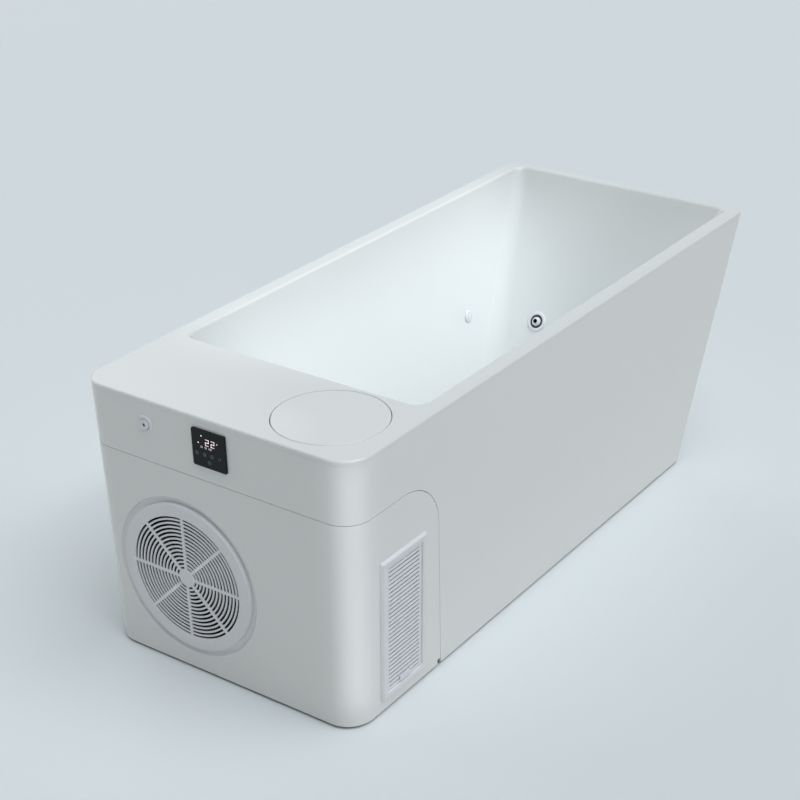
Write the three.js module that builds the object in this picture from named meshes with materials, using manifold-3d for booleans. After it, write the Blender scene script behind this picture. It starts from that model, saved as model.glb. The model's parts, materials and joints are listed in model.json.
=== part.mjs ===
// Cold plunge tub with a built-in chiller: an acrylic basin and skirt on a steel frame, and a
// chiller behind a removable cover at one end. Millimetres, +Z up. X runs from the chiller end
// to the slanted end. Inside this file X is counted from the flat front of the chiller end.

import * as THREE from 'three';
import { mergeVertices } from 'three/addons/utils/BufferGeometryUtils.js';
import Module from 'manifold-3d';

const wasm = await Module();
wasm.setup();

// Outer form
const TUB_LENGTH = 1770;
const TUB_WIDTH = 750;
const TUB_HEIGHT = 670;
const SKIRT_LIFT = 6; // gap under the skirt
const END_RUN = 268; // how far the slanted end comes in at its foot
const SIDE_DRAFT = 18; // how far each long side comes in at its foot
const FRONT_RADIUS = 65;
const FAR_RADIUS = 12;
const RIM_ROUND = 5; // rounding of the rim's outer edge
const RIM_DEPTH = 12; // thickness of the deck and rim
const SKIRT_WALL = 6;

// Basin
const DECK_DEPTH = 296;
const RIM_SIDE = 40;
const RIM_FAR = 21.5;
const BASIN_WALL = 6;
const BACKREST_RUN = 361; // how far the inner end wall comes in at the floor
const BASIN_SIDE_LEAN = 108;
const BASIN_FRONT_LEAN = 25;
const BASIN_FRONT_RADIUS = 38;
const BASIN_FAR_RADIUS = 30;
const BASIN_FOOT_RADIUS = 60;
const BASIN_FILLET = 45; // rounding between floor and walls
const BASIN_LIP = 6; // rounding of the rim's inner edge

// Clearances
const FIT_GAP = 0.3; // pieces that rest on or are fixed to each other
const HOLE_GAP = 0.5; // a body in the hole that it passes through
const SLIDE_GAP = 0.6; // a piece that slides in a pocket

// Base
const FOOT_HEIGHT = 30;
const FOOT_PAD_RADIUS = 25;
const FOOT_PAD_HEIGHT = 12;
const FOOT_STEM_RADIUS = 7;
const TUBE_SIZE = 30;
const TUBE_WALL = 2;
const RAIL_SPACING = 420;
const RAIL_FRONT = 40; // front of the rails, behind the cover
const RAIL_FAR_MARGIN = 110; // far end of the rails, in from the foot of the slanted end
const FOOT_INSET = 50; // feet, in from the ends of the rails
const TRAY_THICKNESS = 4;
const TRAY_BACK_GAP = 12;

// Seam of the chiller cover
const SEAM_DROP = 152; // seam below the rim
const SEAM_TOP_X = 310;
const SEAM_FOOT_X = 324;
const SEAM_RADIUS = 130;
const SEAM_GAP = 3;
const NOTCH_WIDTH = 12;
const NOTCH_HEIGHT = 14;

// Fan grille in the cover
const FAN_Y = 102;
const FAN_Z = 247;
const COVE_RADIUS = 199; // outer edge of the hollow round the grille
const COVE_DEPTH = 9;
const COVE_FOOT = 10; // how far the hollow narrows at its foot
const BOSS_WALL = 5; // cover behind and outside the hollow
const BOSS_SKIN = 1; // the hollow's boss starts behind the cover's face
const GRILLE_RADIUS = 183;
const GRILLE_PROUD = 3;
const GRILLE_PLATE = 5;
const GRILLE_SEAT = 12; // ledge that the grille rests on
const SLOT_ROWS = 14;
const SLOT_SECTORS = 8;
const SLOT_FIRST_RADIUS = 25.5;
const SLOT_PITCH = 9.6;
const SLOT_WIDTH = 4.8;
const SPOKE_WIDTH = 7;

// Fan and condenser
const FAN_RADIUS = 150;
const FAN_TIP_GAP = 6;
const FAN_BLADES = 5;
const FAN_HUB_RADIUS = 44;
const FAN_HUB_LENGTH = 25;
const BLADE_THICKNESS = 4;
const BLADE_ROOT_CHORD = 40;
const BLADE_ROOT_PITCH = 35; // degrees
const BLADE_TIP_CHORD = 92;
const BLADE_TIP_PITCH = 15; // degrees
const SHROUD_STANDOFF = 6; // shroud behind the cover's boss
const SHROUD_DEPTH = 82;
const SHROUD_WALL = 4;
const SHROUD_FLANGE = 12;
const FAN_RECESS = 12; // hub behind the shroud's front edge
const MOTOR_RADIUS = 38;
const MOTOR_LENGTH = 24;
const MOTOR_GAP = 3; // motor behind the hub
const SHAFT_RADIUS = 5;
const SHAFT_LENGTH = 22;
const BRACKET_THICKNESS = 6;
const BRACKET_ARM = 14;
const CONDENSER_DEPTH = 32;
const FIN_COUNT = 18;
const FIN_GROOVE = 8;

// Compressor and heat exchanger
const COMPRESSOR_RADIUS = 48;
const COMPRESSOR_HEIGHT = 215;
const COMPRESSOR_FOOT = 12; // foot flange beyond the body
const COMPRESSOR_DOME = 21.6;
const COMPRESSOR_SIDE = 160; // middle of the compressor, in from the left side
const ACCUMULATOR_RADIUS = 22;
const ACCUMULATOR_HEIGHT = 120;
const ACCUMULATOR_LIFT = 66; // above the tray
const EXCHANGER_RADIUS = 50;
const EXCHANGER_HEIGHT = 335;
const EXCHANGER_HOSE_RUN = 53.4; // between the pump's outlet and the exchanger
const EXCHANGER_IN_LIFT = 62;
const EXCHANGER_OUT_LIFT = 300;
const LINE_RADIUS = 5; // refrigerant lines
const LINE_BEND = 30;
const STUB_LENGTH = 12; // stubs that the lines meet
const DISCHARGE_DROP = 15; // stub below the condenser's top
const LIQUID_LIFT = 30; // stub above the condenser's foot

// Water side
const SPIGOT_RADIUS = 14;
const SPIGOT_BORE = 10;
const SPIGOT_LENGTH = 18;
const HOSE_RADIUS = 16;
const HOSE_BORE = 11;
const HOSE_BEND = 64;
const HOSE_STANDOFF = 9; // hoses in from the skirt
const RETURN_RUN_Z = 262;
const SUCTION_RUN_Z = 330;
const SUCTION_BAY_LIFT = 84; // suction hose above the exchanger, where it crosses the bay
const PUMP_RADIUS = 54;
const PUMP_HEIGHT = 44;
const PUMP_OUTLET_OFFSET = 36;
const PUMP_MOTOR_RADIUS = 46;
const PUMP_MOTOR_HEIGHT = 60;

// Filter under the deck
const LID_X = 155;
const LID_SIDE = 171; // middle of the lid, in from the right side
const LID_RADIUS = 126;
const LID_GAP = 2.5;
const LID_THICKNESS = 9;
const LID_EDGE = 1;
const SEAL_THICKNESS = 2;
const SEAL_WIDTH = 11;
const HOUSING_RADIUS = 115.5;
const HOUSING_WALL = 5.5;
const HOUSING_FLANGE = 4;
const HOUSING_DEPTH = 250;
const INLET_LIFT = 116.6; // water inlet above the housing's foot
const LEDGE_DEPTH = 6; // deck under the housing's flange
const DECK_BOSS_WALL = 7.5;
const CARTRIDGE_RADIUS = 80;
const CARTRIDGE_VALLEY = 64;
const CARTRIDGE_BORE = 30;
const CARTRIDGE_HEIGHT = 200;
const CARTRIDGE_PLEATS = 24;

// Controls on the front band
const PANEL_WIDTH = 92;
const PANEL_HEIGHT = 88;
const PANEL_PROUD = 5;
const PANEL_RADIUS = 5;
const PANEL_Y = 0;
const PANEL_DROP = 70; // middle of the glass below the rim
const PANEL_LAND = 9; // glass beyond the housing, lying on the skirt
const PANEL_HOUSING_DEPTH = 26;
const PANEL_HOUSING_WALL = 2.5;
const BOARD_THICKNESS = 1.6;
const BOARD_DEPTH = 12; // board behind the glass
const BUTTON_SIDE = 191; // middle of the button, in from the left side
const BUTTON_DROP = 61; // middle of the button below the rim
const BEZEL_RADIUS = 22.5;
const BEZEL_PROUD = 4;
const BEZEL_BARREL_RADIUS = 16;
const BEZEL_BARREL_LENGTH = 16;
const BUTTON_RADIUS = 12.4;
const BUTTON_PROUD = 6;
const BUTTON_LENGTH = 14;
const BUTTON_EDGE = 1;
const BUTTON_HOLE_RADIUS = 4;
const BUTTON_HOLE_DEPTH = 3;
const SWITCH_RADIUS = 15;
const SWITCH_LENGTH = 28;
const CONTROL_BOX_LENGTH = 150;
const CONTROL_BOX_WIDTH = 200;
const CONTROL_BOX_HEIGHT = 85;
const CONTROL_BOX_X = 105;
const CONTROL_BOX_SIDE = 95; // box in from the left side

// Louvre on the right side of the cover
const LOUVRE_X = 176;
const LOUVRE_Z = 215;
const LOUVRE_WIDTH = 166;
const LOUVRE_HEIGHT = 361;
const LOUVRE_BORDER = 17;
const LOUVRE_PROUD = 7;
const LOUVRE_BEVEL = 5;
const LOUVRE_LIP = 8; // frame beyond its hole in the cover
const LOUVRE_SPIGOT = 12; // frame behind the cover's wall
const LOUVRE_CORNER = 5;
const DOOR_GAP = 1.2;
const DOOR_THICKNESS = 6;
const DOOR_RECESS = 3; // door behind the frame's face
const SLAT_PITCH = 10.6;
const SLAT_OPENING = 5;
const SLAT_MARGIN = 9;
const SLAT_TOP_MARGIN = 7.5;
const PIN_RADIUS = 2.5;
const PIN_REACH = 4;
const PIN_INSET = 5;
const LATCH_WIDTH = 36;
const LATCH_HEIGHT = 9;
const LATCH_TRAVEL = 3;
const LATCH_PROUD = 1.5;
const LATCH_LIFT = 7; // above the foot of the door
const DUST_FILTER_THICKNESS = 8;

// Return jet on the end wall
const JET_Y = 132;
const JET_Z = 301;
const JET_FLANGE_RADIUS = 29;
const JET_FLANGE_PROUD = 5;
const JET_BARREL_RADIUS = 23;
const JET_BORE = 19.8;
const JET_TAIL = 46;
const JET_SPIGOT_DEPTH = 28;
const COLLAR_FRONT = 4;
const COLLAR_BACK = 8;
const EYE_RADIUS = 14;
const EYE_HOLE = 6.5;
const EYE_GAP = 0.4;
const EYE_ROOM = 3.5; // hollow behind the eyeball, for its foot when it tilts

// Suction fitting on the side wall
const SUCTION_X = 1386;
const SUCTION_Z = 335;
const SUCTION_FLANGE_RADIUS = 17.5;
const SUCTION_FLANGE_PROUD = 4;
const SUCTION_BARREL_RADIUS = 16;
const SUCTION_TAIL = 46;
const SUCTION_SPIGOT_DEPTH = 28;
const STRAINER_HOLE = 2.2;
const STRAINER_CIRCLE = 8;
const STRAINER_HOLES = 6;

// Drain in the floor
const DRAIN_X = 430;
const DRAIN_FLANGE_RADIUS = 35;
const DRAIN_FLANGE_HEIGHT = 3;
const DRAIN_BARREL_RADIUS = 24;
const DRAIN_BORE = 19;
const DRAIN_FLOOR_CLEARANCE = 7;
const DRAIN_FLOOR_WALL = 3;
const DRAIN_PIPE_Z = 18;
const DRAIN_PIPE_RADIUS = 10;
const DRAIN_PIPE_BORE = 7;
const DRAIN_PIPE_PROUD = 8;
const PLUG_RADIUS = 30;
const PLUG_HEIGHT = 5;
const PLUG_STEM_RADIUS = 8;
const PLUG_STEM_LENGTH = 24;

// Cord gland on the left side
const GLAND_X = 372;
const GLAND_Z = 60;
const GLAND_RADIUS = 13;
const GLAND_PROUD = 14;
const GLAND_BARREL_RADIUS = 9;
const GLAND_BORE = 4;

// Facets of round pieces
const FINE = 40;
const ROUND = 22;
const DRUM = 16;
const COARSE = 12;
const TUBE_ARC = 3; // a hose has twice as many sides
const LINE_STEPS = 24;
const HOSE_STEPS = 32;
const SHORT_HOSE_STEPS = 8;
const FRONT_CORNER_STEPS = 8;
const FAR_CORNER_STEPS = 3;
const SEAM_STEPS = 6;
const SOCKET_RINGS = 6;
const BALL_RINGS = 10;

const REACH = 60; // how far a cutting solid runs past what it cuts
const OVERLAP = 1; // how far joined solids run into each other

// Heights and places that follow from the sizes above
const frameFoot = FOOT_HEIGHT + FIT_GAP;
const frameTop = frameFoot + TUBE_SIZE;
const floorTop = frameTop + FIT_GAP + BASIN_WALL;
const trayTop = frameTop + FIT_GAP + TRAY_THICKNESS;
const standZ = trayTop + FIT_GAP;
const deckUnder = TUB_HEIGHT - RIM_DEPTH;
const skirtTop = deckUnder - FIT_GAP;
const skirtHeight = TUB_HEIGHT - SKIRT_LIFT;
const basinHeight = TUB_HEIGHT - floorTop;
const endSlope = Math.atan(END_RUN / skirtHeight);
const sideDraft = Math.atan(SIDE_DRAFT / skirtHeight);
const backrestSlope = Math.atan(BACKREST_RUN / basinHeight);
const sideLean = Math.atan(BASIN_SIDE_LEAN / basinHeight);
const originX = (skirtFar(TUB_HEIGHT - RIM_ROUND) - BUTTON_PROUD) / 2;
const seamHeight = TUB_HEIGHT - SEAM_DROP;
const panelZ = TUB_HEIGHT - PANEL_DROP;
const buttonY = TUB_WIDTH / 2 - BUTTON_SIDE;
const buttonZ = TUB_HEIGHT - BUTTON_DROP;
const controlBoxEnd = TUB_WIDTH / 2 - CONTROL_BOX_SIDE;
const lidY = LID_SIDE - TUB_WIDTH / 2;

const bossBack = COVE_DEPTH + BOSS_WALL;
const shroudFront = bossBack + SHROUD_STANDOFF;
const shroudBack = shroudFront + SHROUD_DEPTH;
const shroudRadius = FAN_RADIUS + FAN_TIP_GAP;
const shroudHalf = shroudRadius + SHROUD_WALL + SHROUD_FLANGE;
const condenserFront = shroudBack + FIT_GAP;
const condenserBack = condenserFront + CONDENSER_DEPTH;
const condenserTop = FAN_Z + shroudHalf;
const hubFront = shroudFront + FAN_RECESS;
const hubBack = hubFront + FAN_HUB_LENGTH;
const motorFront = hubBack + MOTOR_GAP;
const motorBack = motorFront + MOTOR_LENGTH;
const bracketFront = motorBack + FIT_GAP;
const bayBack = DECK_DEPTH - BASIN_WALL;
const bayX = (condenserBack + bayBack) / 2; // middle of the space behind the condenser
const compressorTop = standZ + COMPRESSOR_HEIGHT;
const compressorY = TUB_WIDTH / 2 - COMPRESSOR_SIDE;
const accumulatorY = compressorY - COMPRESSOR_RADIUS - FIT_GAP - ACCUMULATOR_RADIUS;
const accumulatorZ = trayTop + ACCUMULATOR_LIFT;
const exchangerTop = standZ + EXCHANGER_HEIGHT;
const suctionBayZ = exchangerTop + SUCTION_BAY_LIFT;
const pumpOutletY = lidY + PUMP_RADIUS + SPIGOT_LENGTH;
const exchangerY = pumpOutletY + EXCHANGER_HOSE_RUN + 2 * FIT_GAP + SPIGOT_LENGTH + EXCHANGER_RADIUS;
const dischargeZ = condenserTop - DISCHARGE_DROP;
const liquidZ = standZ + LIQUID_LIFT;

const lidUnder = TUB_HEIGHT - LID_THICKNESS;
const sealTop = lidUnder - FIT_GAP;
const flangeTop = sealTop - SEAL_THICKNESS - FIT_GAP;
const ledgeTop = flangeTop - HOUSING_FLANGE - FIT_GAP;
const housingFoot = flangeTop - HOUSING_DEPTH;
const inletZ = housingFoot + INLET_LIFT;
const lidOpening = LID_RADIUS + LID_GAP;
const pumpFoot = standZ + PUMP_MOTOR_HEIGHT + FIT_GAP;
const pumpTop = pumpFoot + PUMP_HEIGHT;

// Finishes
function finish(colour, roughness, metalness) {
  return new THREE.MeshStandardMaterial({ color: colour, roughness, metalness, flatShading: true });
}
const acrylic = finish(0xe9eef0, 0.1, 0);
const whitePlastic = finish(0xe4e9ec, 0.3, 0);
const blackGlass = finish(0x14181c, 0.08, 0);
const greyPlastic = finish(0x4a4f54, 0.5, 0);
const rubber = finish(0x1d1f21, 0.8, 0);
const steel = finish(0x9aa0a5, 0.4, 1);
const blackPaint = finish(0x22252a, 0.4, 0.2);
const copper = finish(0xb87346, 0.35, 1);
const aluminium = finish(0xc3c8cc, 0.4, 1);
const greenBoard = finish(0x1f5a3a, 0.6, 0);
const filterPaper = finish(0xdfe6ea, 0.9, 0);

// A geometry with shared points, no slivers of zero area and its faces pointing out
function closed(geometry) {
  const plain = geometry.clone();
  for (const name of Object.keys(plain.attributes)) {
    if (name !== 'position') plain.deleteAttribute(name);
  }
  const merged = mergeVertices(plain, 1e-3);
  const points = merged.attributes.position;
  const source = merged.index.array;
  const faces = [];
  let volume = 0;
  const a = new THREE.Vector3();
  const b = new THREE.Vector3();
  const c = new THREE.Vector3();
  for (let i = 0; i < source.length; i += 3) {
    const [p, q, r] = [source[i], source[i + 1], source[i + 2]];
    if (p === q || q === r || r === p) continue;
    faces.push([p, q, r]);
    a.fromBufferAttribute(points, p);
    b.fromBufferAttribute(points, q);
    c.fromBufferAttribute(points, r);
    volume += a.dot(b.cross(c));
  }
  const turned = volume < 0 ? faces.map(([p, q, r]) => [p, r, q]) : faces;
  merged.setIndex(turned.flat());
  return merged;
}

function toSolid(geometry) {
  const shell = closed(geometry);
  return new wasm.Manifold(new wasm.Mesh({
    numProp: 3,
    vertProperties: new Float32Array(shell.attributes.position.array),
    triVerts: new Uint32Array(shell.index.array),
  }));
}

function toGeometry(solid) {
  const mesh = solid.getMesh();
  const geometry = new THREE.BufferGeometry();
  geometry.setAttribute('position', new THREE.BufferAttribute(new Float32Array(mesh.vertProperties), 3));
  geometry.setIndex(new THREE.BufferAttribute(new Uint32Array(mesh.triVerts), 1));
  return geometry;
}

function combine(method, first, others) {
  return toGeometry(others.reduce((solid, other) => solid[method](toSolid(other)), toSolid(first)));
}
const join = (first, ...others) => combine('add', first, others);
const cut = (first, ...others) => combine('subtract', first, others);
const keep = (first, ...others) => combine('intersect', first, others);

// A closed solid through rings of points, each ring with as many points as the next
function loft(rings) {
  const count = rings[0].length;
  const points = rings.flat();
  const faces = [];
  for (let r = 0; r + 1 < rings.length; r += 1) {
    for (let i = 0; i < count; i += 1) {
      const j = (i + 1) % count;
      const low = r * count;
      const high = low + count;
      faces.push(low + i, low + j, high + j, low + i, high + j, high + i);
    }
  }
  const last = (rings.length - 1) * count;
  for (let i = 1; i + 1 < count; i += 1) {
    faces.push(0, i + 1, i, last, last + i, last + i + 1);
  }
  const geometry = new THREE.BufferGeometry().setFromPoints(points);
  geometry.setIndex(faces);
  return geometry;
}

// An outline at one height, with round front corners and round far corners
function roundedRing(frontX, farX, half, frontRadius, farRadius, z) {
  const corners = [
    [farX - farRadius, half - farRadius, farRadius, FAR_CORNER_STEPS],
    [frontX + frontRadius, half - frontRadius, frontRadius, FRONT_CORNER_STEPS],
    [frontX + frontRadius, -half + frontRadius, frontRadius, FRONT_CORNER_STEPS],
    [farX - farRadius, -half + farRadius, farRadius, FAR_CORNER_STEPS],
  ];
  return corners.flatMap(([x, y, radius, steps], quarter) => Array.from({ length: steps + 1 }, (_, i) => {
    const angle = (Math.PI / 2) * (quarter + i / steps);
    return new THREE.Vector3(x + radius * Math.cos(angle), y + radius * Math.sin(angle), z);
  }));
}

// Solids of revolution: each profile point is [radius, distance along the axis]
function turnedZ(profile, sides) {
  const points = profile.map(([radius, along]) => new THREE.Vector2(radius, along));
  return closed(new THREE.LatheGeometry(points, sides).rotateX(Math.PI / 2));
}
const turnedX = (profile, sides) => turnedZ(profile, sides).rotateY(Math.PI / 2);
const turnedY = (profile, sides) => turnedZ(profile, sides).rotateX(-Math.PI / 2);

const rod = (radius, start, end) => [[0, start], [radius, start], [radius, end], [0, end]];
const pipe = (bore, radius, start, end) => [
  [bore, start], [radius, start], [radius, end], [bore, end], [bore, start],
];

function boxBetween(low, high) {
  const size = high.map((value, i) => value - low[i]);
  const middle = high.map((value, i) => (value + low[i]) / 2);
  return new THREE.BoxGeometry(...size).translate(...middle);
}

// Flat shapes pushed out along an axis
function plateZ(shape, start, end, curveSegments = 4) {
  const options = { depth: end - start, bevelEnabled: false, curveSegments };
  return new THREE.ExtrudeGeometry(shape, options).translate(0, 0, start);
}
function plateX(shapeYZ, start, end, curveSegments = 4) {
  const axes = new THREE.Matrix4().makeBasis(
    new THREE.Vector3(0, 1, 0), new THREE.Vector3(0, 0, 1), new THREE.Vector3(1, 0, 0));
  return plateZ(shapeYZ, start, end, curveSegments).applyMatrix4(axes);
}
function plateY(shapeXZ, start, end, curveSegments = 4) {
  return plateZ(shapeXZ, -end, -start, curveSegments).rotateX(Math.PI / 2);
}

function roundedRect(width, height, radius) {
  const shape = new THREE.Shape();
  const x = width / 2 - radius;
  const y = height / 2 - radius;
  shape.absarc(x, y, radius, 0, Math.PI / 2);
  shape.absarc(-x, y, radius, Math.PI / 2, Math.PI);
  shape.absarc(-x, -y, radius, Math.PI, Math.PI * 1.5);
  shape.absarc(x, -y, radius, Math.PI * 1.5, Math.PI * 2);
  return shape;
}

function rectHole(width, height, x = 0, y = 0) {
  const hole = new THREE.Path();
  hole.moveTo(x - width / 2, y - height / 2);
  hole.lineTo(x + width / 2, y - height / 2);
  hole.lineTo(x + width / 2, y + height / 2);
  hole.lineTo(x - width / 2, y + height / 2);
  hole.closePath();
  return hole;
}

// A tube along a smooth curve through points; a bore of 0 makes a solid rod
function tubeAlong(points, radius, bore, steps) {
  const curve = new THREE.CatmullRomCurve3(points.map((p) => new THREE.Vector3(...p)), false, 'centripetal');
  const section = new THREE.Shape().absarc(0, 0, radius, 0, Math.PI * 2);
  if (bore > 0) section.holes.push(new THREE.Path().absarc(0, 0, bore, 0, Math.PI * 2, true));
  return new THREE.ExtrudeGeometry(section, { steps, extrudePath: curve, curveSegments: TUBE_ARC });
}

// The tub and the groups that hold its pieces
const tub = new THREE.Group();
tub.position.x = -originX;

function addPiece(name, geometry, material, parent = tub) {
  const mesh = new THREE.Mesh(closed(geometry), material);
  mesh.geometry.computeVertexNormals();
  mesh.name = name;
  parent.add(mesh);
  return mesh;
}

// A group on a wall: its Z points along the wall's normal
function wallGroup(point, normal) {
  const group = new THREE.Group();
  group.position.copy(point);
  group.quaternion.setFromUnitVectors(new THREE.Vector3(0, 0, 1), normal);
  tub.add(group);
  return group;
}
const onWall = (group, geometry) => {
  group.updateMatrix();
  return geometry.clone().applyMatrix4(group.matrix);
};

// Outline of the skirt at a height, moved in by a wall thickness
function skirtRing(z, inset) {
  const fall = (TUB_HEIGHT - z) / skirtHeight;
  return roundedRing(
    inset,
    TUB_LENGTH - END_RUN * fall - inset / Math.cos(endSlope),
    TUB_WIDTH / 2 - SIDE_DRAFT * fall - inset,
    Math.max(FRONT_RADIUS - inset, FIT_GAP),
    Math.max(FAR_RADIUS - inset, FIT_GAP),
    z);
}
function skirtHalf(z) {
  return TUB_WIDTH / 2 - SIDE_DRAFT * ((TUB_HEIGHT - z) / skirtHeight);
}
function skirtFar(z) {
  return TUB_LENGTH - END_RUN * ((TUB_HEIGHT - z) / skirtHeight);
}

// Outline of the basin's inner face at a height, moved out by a wall thickness
function basinRing(z, grow) {
  const fall = (TUB_HEIGHT - z) / basinHeight;
  const mix = (top, foot) => top + (foot - top) * fall;
  const radius = (top) => Math.max(mix(top, BASIN_FOOT_RADIUS) + grow, FIT_GAP);
  return roundedRing(
    DECK_DEPTH + BASIN_FRONT_LEAN * fall - grow,
    basinFar(z) + grow / Math.cos(backrestSlope),
    basinHalf(z) + grow / Math.cos(sideLean),
    radius(BASIN_FRONT_RADIUS),
    radius(BASIN_FAR_RADIUS),
    z);
}
const basinHalf = (z) => TUB_WIDTH / 2 - RIM_SIDE - BASIN_SIDE_LEAN * ((TUB_HEIGHT - z) / basinHeight);
const basinFar = (z) => TUB_LENGTH - RIM_FAR - BACKREST_RUN * ((TUB_HEIGHT - z) / basinHeight);

// Rings of a bowl: a round foot, then straight walls up to a height
function bowlRings(footZ, fillet, grow, topZ) {
  const steps = [0, 30, 60, 90].map((degrees) => THREE.MathUtils.degToRad(degrees));
  const foot = steps.map((a) => basinRing(
    footZ + fillet * (1 - Math.cos(a)), grow - fillet * (1 - Math.sin(a))));
  return [...foot, basinRing(topZ, grow)];
}

// Places of the wall fittings
const jetPoint = new THREE.Vector3(basinFar(JET_Z), JET_Y, JET_Z);
const jetNormal = new THREE.Vector3(-Math.cos(backrestSlope), 0, Math.sin(backrestSlope));
const suctionPoint = new THREE.Vector3(SUCTION_X, basinHalf(SUCTION_Z), SUCTION_Z);
const suctionNormal = new THREE.Vector3(0, -Math.cos(sideLean), Math.sin(sideLean));
const louvrePoint = new THREE.Vector3(LOUVRE_X, -skirtHalf(LOUVRE_Z), LOUVRE_Z);
const louvreNormal = new THREE.Vector3(0, -Math.cos(sideDraft), -Math.sin(sideDraft));
const glandPoint = new THREE.Vector3(GLAND_X, skirtHalf(GLAND_Z), GLAND_Z);
const glandNormal = new THREE.Vector3(0, Math.cos(sideDraft), -Math.sin(sideDraft));
const jetGroup = wallGroup(jetPoint, jetNormal);
const suctionGroup = wallGroup(suctionPoint, suctionNormal);
const louvreGroup = wallGroup(louvrePoint, louvreNormal);
const glandGroup = wallGroup(glandPoint, glandNormal);

// Basin: deck, rim and inner tub, with the openings of its fittings
function makeBasin() {
  const rimSteps = [0, 45, 90].map((degrees) => THREE.MathUtils.degToRad(degrees));
  const slab = loft([
    skirtRing(deckUnder, 0),
    ...rimSteps.map((a) => skirtRing(
      TUB_HEIGHT - RIM_ROUND * (1 - Math.sin(a)), RIM_ROUND * (1 - Math.cos(a)))),
  ]);
  const outside = loft(bowlRings(
    floorTop - BASIN_WALL, BASIN_FILLET + BASIN_WALL, BASIN_WALL, TUB_HEIGHT - RIM_ROUND));
  const lip = rimSteps.map((a) => basinRing(
    TUB_HEIGHT - BASIN_LIP * (1 - Math.sin(a)), BASIN_LIP * (1 - Math.cos(a))));
  const inside = loft([
    ...bowlRings(floorTop, BASIN_FILLET, 0, TUB_HEIGHT - 2 * BASIN_LIP),
    ...lip,
    basinRing(TUB_HEIGHT + REACH, BASIN_LIP),
  ]);
  const at = (geometry) => geometry.translate(LID_X, lidY, 0);
  const boss = at(turnedZ(
    rod(lidOpening + DECK_BOSS_WALL, ledgeTop - LEDGE_DEPTH, deckUnder + OVERLAP), FINE));
  const lidHole = at(turnedZ(rod(lidOpening, ledgeTop, TUB_HEIGHT + REACH), FINE));
  const housingHole = at(turnedZ(
    rod(HOUSING_RADIUS + HOLE_GAP, ledgeTop - REACH, TUB_HEIGHT), FINE));
  const jetHole = onWall(jetGroup, turnedZ(rod(JET_BARREL_RADIUS + FIT_GAP, -REACH, REACH), ROUND));
  const suctionHole = onWall(suctionGroup, turnedZ(
    rod(SUCTION_BARREL_RADIUS + FIT_GAP, -REACH, REACH), ROUND));
  const drainHole = turnedZ(rod(DRAIN_BARREL_RADIUS + FIT_GAP, 0, floorTop + REACH), ROUND)
    .translate(DRAIN_X, 0, 0);
  const shell = cut(join(slab, outside, boss), inside, lidHole, housingHole);
  addPiece('basin', cut(shell, jetHole, suctionHole, drainHole), acrylic);
}

// Side view of the space that the chiller cover closes, grown by the seam's gap
function coverRegion(grow) {
  const shape = new THREE.Shape();
  shape.moveTo(-REACH, -REACH);
  shape.lineTo(SEAM_FOOT_X + grow, -REACH);
  shape.lineTo(SEAM_FOOT_X + grow, SKIRT_LIFT);
  shape.absarc(SEAM_TOP_X - SEAM_RADIUS, seamHeight - SEAM_RADIUS, SEAM_RADIUS + grow, 0, Math.PI / 2);
  shape.lineTo(-REACH, seamHeight + grow);
  return plateY(shape, -TUB_WIDTH, TUB_WIDTH, SEAM_STEPS);
}

function skirtSolid(inset) {
  return loft([skirtRing(SKIRT_LIFT, inset), skirtRing(skirtTop, inset)]);
}

function skirtTube() {
  const hollow = loft([
    skirtRing(SKIRT_LIFT - OVERLAP, SKIRT_WALL), skirtRing(skirtTop + OVERLAP, SKIRT_WALL)]);
  return cut(skirtSolid(0), hollow);
}

function makeSkirt() {
  const panelHole = plateX(
    roundedRect(
      PANEL_WIDTH - 2 * PANEL_LAND + 2 * HOLE_GAP, PANEL_HEIGHT - 2 * PANEL_LAND + 2 * HOLE_GAP, HOLE_GAP),
    -REACH, REACH, 1).translate(0, PANEL_Y, panelZ);
  const buttonHole = turnedX(rod(BEZEL_BARREL_RADIUS + HOLE_GAP, -REACH, REACH), ROUND)
    .translate(0, buttonY, buttonZ);
  const glandHole = onWall(glandGroup, turnedZ(rod(GLAND_BARREL_RADIUS + HOLE_GAP, -REACH, REACH), COARSE));
  const drainHole = turnedY(rod(DRAIN_PIPE_RADIUS + HOLE_GAP, 0, TUB_WIDTH), COARSE)
    .translate(DRAIN_X, 0, DRAIN_PIPE_Z);
  const body = cut(skirtTube(), coverRegion(SEAM_GAP), panelHole, buttonHole);
  addPiece('outer_skirt', cut(body, glandHole, drainHole), acrylic);
}

// Chiller cover with the hollow for the grille, the louvre's hole and two notches to pull it by
function makeCover() {
  const atFan = (geometry) => geometry.translate(0, FAN_Y, FAN_Z);
  const disc = atFan(turnedX(rod(COVE_RADIUS + BOSS_WALL, BOSS_SKIN, bossBack), FINE));
  const boss = keep(disc, skirtSolid(BOSS_SKIN));
  const coveFoot = COVE_RADIUS - COVE_FOOT;
  const bend = COVE_FOOT * Math.SQRT1_2;
  const cove = atFan(turnedX([
    [0, -REACH], [COVE_RADIUS, -REACH], [COVE_RADIUS, 0],
    [coveFoot + COVE_FOOT - bend / 2, COVE_DEPTH - bend / 2], [coveFoot, COVE_DEPTH], [0, COVE_DEPTH],
  ], FINE));
  const mouth = atFan(turnedX(rod(GRILLE_RADIUS - GRILLE_SEAT, -REACH, REACH), FINE));
  const louvreHole = onWall(louvreGroup, plateZ(roundedRect(
    LOUVRE_WIDTH - 2 * LOUVRE_LIP + 2 * HOLE_GAP,
    LOUVRE_HEIGHT - 2 * LOUVRE_LIP + 2 * HOLE_GAP, LOUVRE_CORNER), -REACH, REACH, 2));
  const notch = boxBetween(
    [SEAM_FOOT_X - NOTCH_WIDTH, -TUB_WIDTH, 0],
    [SEAM_FOOT_X + REACH, TUB_WIDTH, SKIRT_LIFT + NOTCH_HEIGHT]);
  const shell = join(keep(skirtTube(), coverRegion(0)), boss);
  addPiece('chiller_cover', cut(shell, cove, mouth, louvreHole, notch), acrylic);
}

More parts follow.
